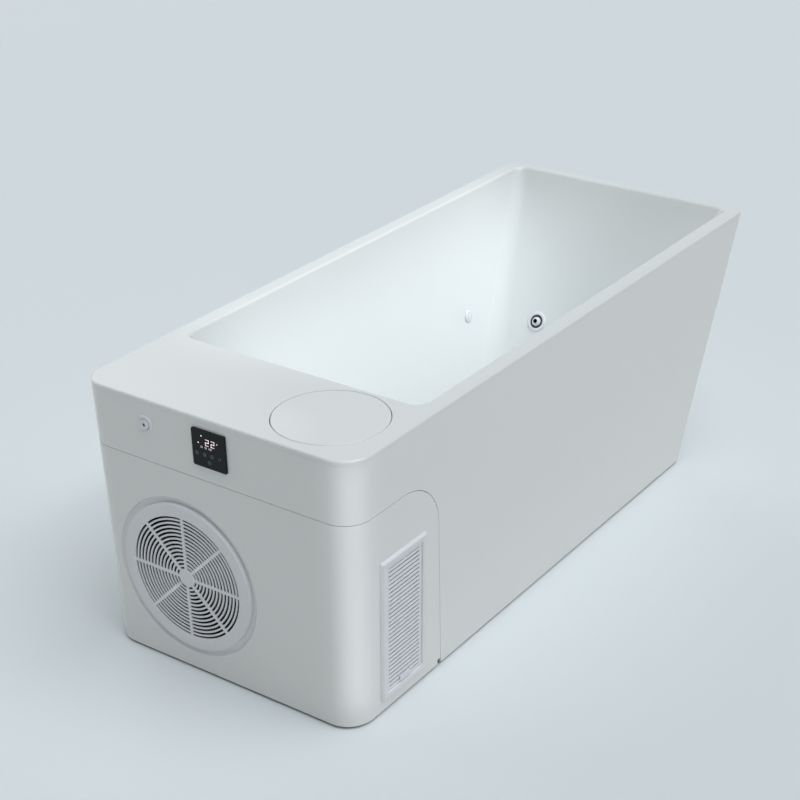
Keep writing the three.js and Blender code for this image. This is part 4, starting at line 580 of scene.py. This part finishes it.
def runTree(tree, values, name):
    holder = bpy.data.objects.new(name, bpy.data.meshes.new(name))
    scene.collection.objects.link(holder)
    modifier = holder.modifiers.new(name, "NODES")
    modifier.node_group = tree
    for item in tree.interface.items_tree:
        if item.in_out == "INPUT":
            modifier[item.identifier] = values[item.name]
    mesh = evaluated(holder)
    bpy.data.objects.remove(holder)
    return mesh


# geometry nodes: concentric ring bars and spokes of the fan grille, about Z, in metres
grille = {"Rings": 15, "First Radius": 0.0207, "Pitch": 0.0096, "Bar Width": 0.0043, "Bar Depth": 0.0023,
          "Spokes": 8, "Spoke Width": 0.0072, "Spoke Depth": 0.0036, "Field Radius": 0.154,
          "Finish": finishes["white_plastic"]}
grilleTree, given, result = newTree("grilleBars", {
    "Rings": "Int", "First Radius": "Float", "Pitch": "Float", "Bar Width": "Float", "Bar Depth": "Float",
    "Spokes": "Int", "Spoke Width": "Float", "Spoke Depth": "Float", "Field Radius": "Float",
    "Finish": "Material"})
index = addNode(grilleTree, "GeometryNodeInputIndex")
ringStep = addNode(grilleTree, "ShaderNodeMath", {
    0: index.outputs[0], 1: given.outputs["Pitch"], 2: given.outputs["First Radius"]},
    operation="MULTIPLY_ADD")
ringPoints = addNode(grilleTree, "GeometryNodePoints", {"Count": given.outputs["Rings"]})
circle = addNode(grilleTree, "GeometryNodeCurvePrimitiveCircle", {"Resolution": 128, "Radius": 1.0})
rings = addNode(grilleTree, "GeometryNodeInstanceOnPoints", {
    "Points": ringPoints.outputs[0], "Instance": circle.outputs["Curve"], "Scale": ringStep.outputs[0]})
ringCurves = addNode(grilleTree, "GeometryNodeRealizeInstances", {"Geometry": rings.outputs[0]})
flatRings = addNode(grilleTree, "GeometryNodeSetCurveNormal", {"Curve": ringCurves.outputs[0]}, mode="Z_UP")
section = addNode(grilleTree, "GeometryNodeCurvePrimitiveQuadrilateral", {
    "Width": given.outputs["Bar Width"], "Height": given.outputs["Bar Depth"]})
bars = addNode(grilleTree, "GeometryNodeCurveToMesh", {
    "Curve": flatRings.outputs[0], "Profile Curve": section.outputs["Curve"]})
halfField = addNode(grilleTree, "ShaderNodeMath", {
    0: given.outputs["Field Radius"], 1: 0.5}, operation="MULTIPLY")
spokeSize = addNode(grilleTree, "ShaderNodeCombineXYZ", {
    0: given.outputs["Field Radius"], 1: given.outputs["Spoke Width"], 2: given.outputs["Spoke Depth"]})
spokeShift = addNode(grilleTree, "ShaderNodeCombineXYZ", {0: halfField.outputs[0]})
spokeBlock = addNode(grilleTree, "GeometryNodeMeshCube", {"Size": spokeSize.outputs[0]})
spoke = addNode(grilleTree, "GeometryNodeTransform", {
    "Geometry": spokeBlock.outputs[0], "Translation": spokeShift.outputs[0]})
spokeAngle = addNode(grilleTree, "ShaderNodeMath", {
    0: 2 * math.pi, 1: given.outputs["Spokes"]}, operation="DIVIDE")
spokeTurn = addNode(grilleTree, "ShaderNodeMath", {
    0: index.outputs[0], 1: spokeAngle.outputs[0]}, operation="MULTIPLY")
spokeRotation = addNode(grilleTree, "ShaderNodeCombineXYZ", {2: spokeTurn.outputs[0]})
spokePoints = addNode(grilleTree, "GeometryNodePoints", {"Count": given.outputs["Spokes"]})
spokes = addNode(grilleTree, "GeometryNodeInstanceOnPoints", {
    "Points": spokePoints.outputs[0], "Instance": spoke.outputs[0], "Rotation": spokeRotation.outputs[0]})
together = addNode(grilleTree, "GeometryNodeJoinGeometry")
grilleTree.links.new(bars.outputs[0], together.inputs[0])
grilleTree.links.new(spokes.outputs[0], together.inputs[0])
real = addNode(grilleTree, "GeometryNodeRealizeInstances", {"Geometry": together.outputs[0]})
dressed = addNode(grilleTree, "GeometryNodeSetMaterial", {
    "Geometry": real.outputs[0], "Material": given.outputs["Finish"]})
grilleTree.links.new(dressed.outputs[0], result.inputs[0])

grilleRim = dict(inside=152.5, back=2, barShift=2.3, seatGap=0.3, ease=0.9, hub=23.5, hubFace=21, hubProud=0.8,
                 hubStep=0.4, hubFoot=1, hubEase=1.2)
barMesh = runTree(grilleTree, grille, "grilleBars")
barMesh.transform(fanMatrix @ Matrix.Translation((0, 0, (grilleRim["barShift"] - fan["proud"]) / 1000)))
seatRadius = fan["radius"] - fan["seat"] + grilleRim["seatGap"]
seatDepth = fan["coveDepth"] - grilleRim["seatGap"]
rimProfile = eased([
    (grilleRim["inside"], -fan["proud"]), (fan["radius"], -fan["proud"]), (fan["radius"], seatDepth),
    (seatRadius, seatDepth), (seatRadius, grilleRim["back"]), (grilleRim["inside"], grilleRim["back"]),
    (grilleRim["inside"], -fan["proud"])], grilleRim["ease"])
hubProfile = eased([
    (0, -fan["proud"] - grilleRim["hubProud"]), (grilleRim["hubFace"], -fan["proud"] - grilleRim["hubStep"]),
    (grilleRim["hub"], grilleRim["hubFoot"]), (grilleRim["hub"], grilleRim["back"]),
    (0, grilleRim["back"])], grilleRim["hubEase"])
bm = bmesh.new()
bm.from_mesh(barMesh)
joinPart(bm, turned(rimProfile, fanMatrix, 128))
joinPart(bm, turned(hubProfile, fanMatrix, 64))
showPiece("fanGrille", toMesh(bm, "fanGrille", 35, outward=False), "white_plastic", "cover", ["fan_grille"])
print("grille made")

# geometry nodes: tilted slats of the side louvre, stacked down Y, in metres
slats = {"Count": 28, "Pitch": 0.0106, "Width": 0.1118, "Blade": 0.0058, "Thickness": 0.0056,
         "Tilt": math.radians(-8), "Finish": finishes["white_plastic"]}
slatTree, given, result = newTree("louvreSlats", {
    "Count": "Int", "Pitch": "Float", "Width": "Float", "Blade": "Float", "Thickness": "Float",
    "Tilt": "Float", "Finish": "Material"})
stepDown = addNode(slatTree, "ShaderNodeMath", {0: given.outputs["Pitch"], 1: -1.0}, operation="MULTIPLY")
stepVector = addNode(slatTree, "ShaderNodeCombineXYZ", {1: stepDown.outputs[0]})
rowPoints = addNode(slatTree, "GeometryNodeMeshLine", {
    "Count": given.outputs["Count"], "Offset": stepVector.outputs[0]})
bladeSize = addNode(slatTree, "ShaderNodeCombineXYZ", {
    0: given.outputs["Width"], 1: given.outputs["Blade"], 2: given.outputs["Thickness"]})
bladeBlock = addNode(slatTree, "GeometryNodeMeshCube", {"Size": bladeSize.outputs[0]})
tiltVector = addNode(slatTree, "ShaderNodeCombineXYZ", {0: given.outputs["Tilt"]})
rowsOfSlats = addNode(slatTree, "GeometryNodeInstanceOnPoints", {
    "Points": rowPoints.outputs[0], "Instance": bladeBlock.outputs[0], "Rotation": tiltVector.outputs[0]})
real = addNode(slatTree, "GeometryNodeRealizeInstances", {"Geometry": rowsOfSlats.outputs[0]})
dressed = addNode(slatTree, "GeometryNodeSetMaterial", {
    "Geometry": real.outputs[0], "Material": given.outputs["Finish"]})
slatTree.links.new(dressed.outputs[0], result.inputs[0])

door = dict(gap=1.2, front=-3.0, back=-9.0, topMargin=7.5, fieldWidth=111.6, radius=1.5, edge=0.8, pin=2.5,
            pinLength=6.2, pinDrop=5, pinEase=0.5)
latch = dict(width=36, height=9, lift=7.6, proud=2.5, round=1.5, pocketWidth=37.2, pocketHeight=13.2,
             pocketLift=7)
shortSlat = dict(x=38.7, width=34.2, bite=0.4, drop=12.5, rise=0.5)  # last slat, either side of the latch
openWidth = louvre["width"] - 2 * louvre["border"]
openHeight = louvre["height"] - 2 * louvre["border"]
doorWidth, doorHeight = openWidth - 2 * door["gap"], openHeight - 2 * door["gap"]
doorFront, doorBack = louvre["proud"] + door["front"], louvre["proud"] + door["back"]
doorMiddle = (doorFront + doorBack) / 2
slatPitch = slats["Pitch"] * 1000
fieldTop = doorHeight / 2 - door["topMargin"]
fieldFoot = fieldTop - slats["Count"] * slatPitch


def ringPlate(levels):  # each level is an outline, how far it grows and its height
    bm = bmesh.new()
    rows = [[bm.verts.new(onLouvre(u, v, z)) for u, v in outline(grow)] for outline, grow, z in levels]
    for low, high in zip(rows, rows[1:] + rows[:1]):
        for i in range(len(low)):
            j = (i + 1) % len(low)
            bm.faces.new((low[i], low[j], high[j], high[i]))
    return bm


def frameLine(grow):
    radius = louvre["frameRadius"] + grow * 0.4
    return roundedOutline(louvre["width"] + 2 * grow, louvre["height"] + 2 * grow, radius, steps=5)


def openLine(grow):
    radius = max(louvre["openRadius"] + grow * 0.5, louvre["leastRadius"])
    return roundedOutline(openWidth + 2 * grow, openHeight + 2 * grow, radius, steps=5)


def doorLine(grow):
    return roundedOutline(doorWidth + 2 * grow, doorHeight + 2 * grow, door["radius"], steps=5)


def fieldLine(grow):
    return roundedOutline(door["fieldWidth"] + 2 * grow, fieldTop - fieldFoot + 2 * grow,
                          louvre["fieldRadius"], 0, (fieldTop + fieldFoot) / 2, steps=5)


# the frame's section: spigot, flange over the shell, sloped face, and down the opening
frameBm = ringPlate([
    (frameLine, -louvre["lip"], louvre["back"]), (frameLine, -louvre["lip"], 0.3), (frameLine, 0, 0.3),
    (frameLine, 0, 1.2), (frameLine, -0.6, 2.4), (frameLine, -3.6, 5.8), (frameLine, -5.2, louvre["proud"]),
    (openLine, 1.6, louvre["proud"]), (openLine, 0.4, louvre["proud"] - 0.5),
    (openLine, 0, louvre["proud"] - 1.6), (openLine, 0, louvre["back"])])
showPiece("louvreFrame", toMesh(frameBm, "louvreFrame", 28), "white_plastic", "cover", ["louvre_frame"])

doorBm = ringPlate([
    (doorLine, 0, doorBack), (doorLine, 0, doorFront - door["edge"]), (doorLine, -door["edge"], doorFront),
    (fieldLine, 1.0, doorFront), (fieldLine, 0, doorFront - door["edge"]), (fieldLine, 0, doorBack)])
pocketY = -doorHeight / 2 + latch["pocketLift"] + latch["pocketHeight"] / 2
windowY = fieldFoot + (shortSlat["rise"] - shortSlat["drop"]) / 2
windowSize = (shortSlat["width"], shortSlat["rise"] + shortSlat["drop"], cutLong)
doorMesh = carved("louvreDoor", tempObject(doorBm, "doorPlate"), [
    cutBy(louvreBox((latch["pocketWidth"], latch["pocketHeight"], cutShort), (0, pocketY, doorFront))),
    cutBy(louvreBox(windowSize, (-shortSlat["x"], windowY, 0))),
    cutBy(louvreBox(windowSize, (shortSlat["x"], windowY, 0))),
], 28)
slatMesh = runTree(slatTree, slats, "louvreSlats")
slatMesh.transform(louvreMatrix @ Matrix.Translation(
    Vector((0, fieldTop - slatPitch / 2, doorMiddle)) / 1000))
bm = bmesh.new()
bm.from_mesh(doorMesh)
bm.from_mesh(slatMesh)
shortWidth = (shortSlat["width"] + shortSlat["bite"]) / 1000
for side in (-1, 1):  # a short slat beside the latch, and a hinge pin at the top
    shortMesh = runTree(slatTree, dict(slats, Count=1, Width=shortWidth), "shortSlat")
    shortMesh.transform(louvreMatrix @ Matrix.Translation(
        Vector((side * shortSlat["x"], fieldFoot - slatPitch / 2, doorMiddle)) / 1000))
    bm.from_mesh(shortMesh)
    pinMatrix = louvreMatrix @ Matrix.Translation(
        Vector((side * (doorWidth / 2 - overlap), doorHeight / 2 - door["pinDrop"], doorMiddle)) / 1000)
    pinProfile = eased(rod(door["pin"], 0, door["pinLength"]), door["pinEase"], steps=2)
    joinPart(bm, turned(pinProfile, pinMatrix @ Matrix.Rotation(side * math.pi / 2, 4, "Y"), 24))
showPiece("louvreDoor", toMesh(bm, "louvreDoor", 28, outward=False),
          "white_plastic", "door", ["louvre_door"])

latchTop = doorFront + latch["proud"]
latchBm = louvreBox((latch["width"], latch["height"], latchTop - doorBack),
                    (0, -doorHeight / 2 + latch["lift"] + latch["height"] / 2, (latchTop + doorBack) / 2))
bmesh.ops.bevel(latchBm, geom=latchBm.edges[:], offset=latch["round"] / 1000, segments=4, affect="EDGES")
showPiece("louvreLatch", toMesh(latchBm, "louvreLatch"), "white_plastic", "latch", ["louvre_latch"])
print("louvre made")

# touch panel: black glass with lit digits and dim key marks
glassLine = roundedOutline(panel["width"], panel["height"], panel["radius"], panel["y"], panel["z"])
glassBm = pushed(glassLine, -panel["proud"], -panel["backGap"], alongX)
glassX = place(-panel["proud"], 0, 0).x
faceEdges = [e for e in glassBm.edges if all(abs(v.co.x - glassX) < 1e-6 for v in e.verts)]
bmesh.ops.bevel(glassBm, geom=faceEdges, offset=panel["edge"] / 1000, segments=3, affect="EDGES")
showPiece("controlGlass", toMesh(glassBm, "controlGlass"), "black_glass", "tub", ["control_glass"])


def addMark(bm, outline):
    face = -panel["proud"]
    joinPart(bm, pushed(outline, face - panel["markProud"], face + panel["markDepth"], alongX))


def stroke(y0, z0, y1, z1, width):
    a, b = Vector((y0, z0)), Vector((y1, z1))
    along = (b - a).normalized() * width / 2
    across = Vector((-along.y, along.x))
    ends = (a - along - across, b + along - across, b + along + across, a - along + across)
    return [tuple(p) for p in ends]


def disc(y, z, radius, sides):
    angles = [2 * math.pi * i / sides for i in range(sides)]
    return [(y + radius * math.cos(a), z + radius * math.sin(a)) for a in angles]


digits = dict(tall=14.0, wide=8.2, stroke=1.35, base=610.3, lean=0.06, rights=(-0.6, -16.3),
              dots=((18, 630.5, 1.7), (27.5, 612.6, 1.7), (-24.7, 621.4, 1.3)))
smallRow = dict(z=604.2, tall=3.4, stroke=0.9, places=(20.5, 17.5, 9.0, 6.0, -1.5, -4.5, -7.5))
digitBm = bmesh.new()
low, middle, top = (digits["base"] + digits["tall"] * share for share in (0, 0.5, 1))
for right in digits["rights"]:
    left = right + digits["wide"]
    for ends in ((left, top, right, top), (right, top, right, middle), (left, middle, right, middle),
                 (left, middle, left, low), (left, low, right, low)):
        addMark(digitBm, [(y - digits["lean"] * (z - low), z) for y, z in stroke(*ends, digits["stroke"])])
for y, z, radius in digits["dots"]:
    addMark(digitBm, disc(y, z, radius, 12))
rowLow, rowTop = smallRow["z"] - smallRow["tall"] / 2, smallRow["z"] + smallRow["tall"] / 2
for y in smallRow["places"]:
    addMark(digitBm, stroke(y, rowLow, y, rowTop, smallRow["stroke"]))
showPiece("displayDigits", toMesh(digitBm, "displayDigits", outward=False),
          litMark, "tub")

keys = dict(ring=4.6, stroke=0.9, thin=0.8, sides=20, slashStep=2.2, slashLean=1.6, slashRise=3.4, spoke=2,
            half=2.6, halfSteps=8, barStep=1.2, barHalf=1.8, dot=1.6, spots=(
                ("cross", 33.7, 587), ("half", 12.5, 587), ("bars", -8.4, 587),
                ("slashes", -29.6, 587), ("dot", 0, 570.5)))
keyBm = bmesh.new()
for kind, y, z in keys["spots"]:
    if kind == "slashes":
        lean, rise = keys["slashLean"], keys["slashRise"]
        for step in (-keys["slashStep"], keys["slashStep"]):
            addMark(keyBm, stroke(y + step + lean, z - rise, y + step - lean, z + rise, keys["stroke"]))
        continue
    inside, outside = (disc(y, z, r, keys["sides"]) for r in (keys["ring"] - keys["stroke"], keys["ring"]))
    for i in range(keys["sides"]):
        j = (i + 1) % keys["sides"]
        addMark(keyBm, [inside[i], outside[i], outside[j], inside[j]])
    if kind == "cross":
        for turn in (0, 60, 120):
            dy, dz = (keys["spoke"] * f(math.radians(turn)) for f in (math.cos, math.sin))
            addMark(keyBm, stroke(y - dy, z - dz, y + dy, z + dz, keys["thin"]))
    elif kind == "half":
        arc = [math.pi * i / keys["halfSteps"] for i in range(keys["halfSteps"] + 1)]
        addMark(keyBm, [(y - keys["half"] * math.sin(a), z + keys["half"] * math.cos(a)) for a in arc])
    elif kind == "bars":
        for step in (-keys["barStep"], keys["barStep"]):
            addMark(keyBm, stroke(y - keys["barHalf"], z + step, y + keys["barHalf"], z + step, keys["thin"]))
    else:
        addMark(keyBm, disc(y, z, keys["dot"], 8))
showPiece("displayKeys", toMesh(keyBm, "displayKeys", outward=False), dimMarkPaintedGlow, "tub")

# push button: half-round bezel that catches light, cap with a dished face and a dark centre
cap = dict(floor=3, inner=5.5, dishIn=2.4, dish=5.2, crestIn=1, shoulder=4.8, back=8, ease=0.7)
lens = dict(crown=3.3, edge=3.2, back=2.9)
bore = button["cap"] + button["capGap"]
bezelMid, bezelHalf = (button["bezel"] + bore) / 2, (button["bezel"] - bore) / 2
crown = [math.radians(180 * i / 16) for i in range(17)]
crownFoot, seat = button["crownFoot"], -button["seatGap"]
bezelProfile = [(bezelMid + bezelHalf * math.cos(a), -crownFoot - (button["proud"] - crownFoot) * math.sin(a))
                for a in crown]
bezelProfile += [(bore, button["back"]), (button["barrel"], button["back"]), (button["barrel"], seat),
                 (button["bezel"], seat), (button["bezel"], -crownFoot)]
showPiece("buttonBezel", toMesh(turned(bezelProfile, buttonMatrix, 72), "buttonBezel"),
          "white_plastic", "tub", ["button_bezel"])
capProfile = eased([
    (0, -cap["floor"]), (button["hole"], -cap["floor"]), (button["hole"], -cap["inner"]),
    (button["cap"] - cap["dishIn"], -cap["dish"]), (button["cap"] - cap["crestIn"], -capProud),
    (button["cap"], -cap["shoulder"]), (button["cap"], cap["back"]), (0, cap["back"])], cap["ease"])
showPiece("buttonCap", toMesh(turned(capProfile, buttonMatrix), "buttonCap"),
          "white_plastic", "button", ["button_cap"])
lensRadius = button["hole"] - button["lensGap"]
lensProfile = [(0, -lens["crown"]), (lensRadius, -lens["edge"]), (lensRadius, -lens["back"]),
               (0, -lens["back"])]
showPiece("buttonLens", toMesh(turned(lensProfile, buttonMatrix, 40), "buttonLens"), "black_glass", "button")
print("controls made")

# return jet on the end wall: flange, dark collar, white eyeball, and a dark sleeve in its hole that is painted
# shade for the bore
flangeEdge = jet["flange"] + jet["skin"]  # a skin just over the jet body's own flange
flangeFace = jet["proud"] + jet["skin"]
mouthFoot = (jet["bore"], jet["proud"] - jet["mouth"])
flangeProfile = eased([
    mouthFoot, (jet["bore"] + jet["mouth"], flangeFace), (jet["flange"] - jet["slope"], flangeFace),
    (flangeEdge, jet["edgeTop"]), (flangeEdge, jet["seatGap"]), (jet["barrel"], jet["seatGap"]),
    (jet["barrel"], jet["back"]), (jet["bore"], jet["back"]), mouthFoot], jet["ease"])
showPiece("jetFlange", toMesh(turned(flangeProfile, jetMatrix, 72), "jetFlange"), "white_plastic", "tub")


def ballLine(radius, start, end, steps):  # points down a ball's side
    heights = [start + (end - start) * i / steps for i in range(steps + 1)]
    return [(math.sqrt(radius ** 2 - z * z), z) for z in heights]


collar = dict(radius=19.4, back=-8, shoulder=2.2, lip=18.6, face=3.4, dish=16, ballTop=4)
collarFoot = (collar["radius"], collar["back"])
collarProfile = ([collarFoot, (collar["radius"], collar["shoulder"]), (collar["lip"], collar["face"]),
                  (collar["dish"], collar["shoulder"])]
                 + ballLine(jet["socket"], collar["ballTop"], collar["back"], 12) + [collarFoot])
showPiece("jetCollar", toMesh(turned(collarProfile, jetMatrix), "jetCollar"),
          "grey_plastic", "collar", ["jet_collar"])
eyeEdge = dict(ball=0.6, out=0.5, crest=0.2, inside=0.8)  # broken edge round the hole
faceZ = math.sqrt(jet["eye"] ** 2 - jet["hole"] ** 2)
eyeFoot = (jet["hole"], jet["eyeBack"])
eyeProfile = ([eyeFoot] + ballLine(jet["eye"], jet["eyeBack"], faceZ - eyeEdge["ball"], 22)
              + [(jet["hole"] + eyeEdge["out"], faceZ - eyeEdge["crest"]),
                 (jet["hole"], faceZ - eyeEdge["inside"]), eyeFoot])
showPiece("jetEyeball", toMesh(turned(eyeProfile, jetMatrix), "jetEyeball"),
          "white_plastic", "eyeball", ["jet_eyeball"])
# dark grey liner in the eyeball's hole: painted shade standing in for the shadow down the nozzle bore
shadeSleeveBack, shadeSleeveFront, shadeSleeveOuter = jet["eyeBack"] + 0.2, faceZ - 1, jet["hole"] - jet["sleeveGap"]
shadeSleeveProfile = [(jet["sleeve"], shadeSleeveBack), (shadeSleeveOuter, shadeSleeveBack), (shadeSleeveOuter, shadeSleeveFront),
                 (jet["sleeve"], shadeSleeveFront), (jet["sleeve"], shadeSleeveBack)]
showPiece("jetSleeve", toMesh(turned(shadeSleeveProfile, jetMatrix, 40), "jetSleeve"), "grey_plastic", "eyeball")
print("jet made")

# everything else keeps its solid's shape, merged and shaded smooth, in its own finish
slotOf = {part["node"]: part["material_slot"] for part in frame["record"]["subparts"]}
bodyOf = {node: body for body, members in frame["record"]["behaviour"]["bodies"].items() for node in members}
for name, node in sorted(frame["nodes"].items()):
    if node.hide_render:
        continue
    bm = bmesh.new()
    bm.from_mesh(node.data)
    words = name.split("_")
    label = words[0] + "".join(w.title() for w in words[1:])
    showPiece(label + "Dressed", toMesh(bm, label, 40, outward=False), slotOf[name], bodyOf[name], [name])
print("inner pieces dressed")


# 1 where the camera looks straight or in a mirror, 0 for light thrown on the object
def seenRay(tree):
    ray = addNode(tree, "ShaderNodeLightPath")
    mirrored = addNode(tree, "ShaderNodeMath", {
        0: ray.outputs["Is Glossy Ray"], 1: ray.outputs["Is Transmission Ray"]}, operation="MAXIMUM")
    return addNode(tree, "ShaderNodeMath", {
        0: ray.outputs["Is Camera Ray"], 1: mirrored.outputs[0]}, operation="MAXIMUM").outputs[0]


# floor: cool pale paper to look at, a duller neutral in the light it throws back
floorLook = dict(colour="#EAF2F6", colour2="#E7F0F4", grainMm=900, driftMm=4000, roughness=(0.75, 0.85),
                 bump=0.0, depthMm=0.1, bounce="#DCDBD9", half=25)
corners = [(x * floorLook["half"], y * floorLook["half"], 0) for x, y in ((-1, -1), (1, -1), (1, 1), (-1, 1))]
floorMesh = bpy.data.meshes.new("studioFloor")
floorMesh.from_pydata(corners, [], [(0, 1, 2, 3)])
paper = makeFinish("paperFloor", floorLook)
paperShader = next(node for node in paper.node_tree.nodes if node.type == "BSDF_PRINCIPLED")
tint = addNode(paper.node_tree, "ShaderNodeMix", {
    0: seenRay(paper.node_tree), 6: linear(floorLook["bounce"]),
    7: paperShader.inputs["Base Color"].links[0].from_socket}, data_type="RGBA")
paper.node_tree.links.new(tint.outputs[2], paperShader.inputs["Base Color"])
floorMesh.materials.append(paper)
floor = bpy.data.objects.new("studioFloor", floorMesh)
scene.collection.objects.link(floor)

# broad light from above on the louvre's side, and a warm fill from the other side
suns = dict(ceilingLight=dict(toward=(0.0, -0.44, 0.90), strength=1.74, angle=60, colour="#FFFFFF"),
            sideLight=dict(toward=(0.0, 0.97, 0.24), strength=0.5, angle=40, colour="#FFF3E6"))
for name, look in suns.items():
    lampData = bpy.data.lights.new(name, "SUN")
    lampData.energy = look["strength"]
    lampData.angle = math.radians(look["angle"])
    lampData.color = linear(look["colour"])[:3]
    lamp = bpy.data.objects.new(name, lampData)
    lamp.rotation_mode = "QUATERNION"
    lamp.rotation_quaternion = Vector(look["toward"]).to_track_quat("Z", "Y")
    scene.collection.objects.link(lamp)

# soft boxes with grids, one into the basin and one on the front corner
softBoxes = dict(
    gridSoftBox=dict(spot=(0.12, -0.45, 1.55), aim=(0.12, 0.34, 0.42), size=(1.3, 0.3), spread=24, power=0.6),
    stripBox=dict(spot=(-1.72, -1.21, 0.45), aim=(-0.85, -0.34, 0.36), size=(0.05, 0.62), spread=6,
                  power=0.03))
for name, look in softBoxes.items():
    lampData = bpy.data.lights.new(name, "AREA")
    lampData.shape = "RECTANGLE"
    lampData.size, lampData.size_y = look["size"]
    lampData.spread = math.radians(look["spread"])
    lampData.energy = look["power"]
    lamp = bpy.data.objects.new(name, lampData)
    lamp.location = look["spot"]
    lamp.rotation_mode = "QUATERNION"
    lamp.rotation_quaternion = (Vector(look["spot"]) - Vector(look["aim"])).to_track_quat("Z", "Y")
    lamp.visible_camera = False
    scene.collection.objects.link(lamp)

# even pale air with one soft bright patch behind the tub
airLook = dict(colour="#EEF6FA", strength=0.20, backdrop=0.75, glowToward=(0.437, 0.758, 0.485),
               glowFrom=0.92, glowTo=0.985, glowStrength=1.3)
world = bpy.data.worlds.new("studioAir")
world.use_nodes = True
air = world.node_tree
air.nodes.clear()
looking = addNode(air, "ShaderNodeTexCoord")
facing = addNode(air, "ShaderNodeVectorMath", {
    0: looking.outputs["Generated"], 1: airLook["glowToward"]}, operation="DOT_PRODUCT")
patch = addNode(air, "ShaderNodeMapRange", {
    "Value": facing.outputs["Value"], "From Min": airLook["glowFrom"], "From Max": airLook["glowTo"],
    "To Min": airLook["strength"], "To Max": airLook["glowStrength"]}, interpolation_type="SMOOTHSTEP")
pale = addNode(air, "ShaderNodeMath", {0: seenRay(air), 1: airLook["backdrop"]}, operation="MULTIPLY")
strength = addNode(air, "ShaderNodeMath", {
    0: patch.outputs["Result"], 1: pale.outputs[0]}, operation="MAXIMUM")
sky = addNode(air, "ShaderNodeBackground", {
    "Color": linear(airLook["colour"]), "Strength": strength.outputs[0]})
addNode(air, "ShaderNodeOutputWorld", {"Surface": sky.outputs[0]})
scene.world = world
scene.view_settings.view_transform = "Standard"

bpy.context.view_layer.update()
print("scene complete")
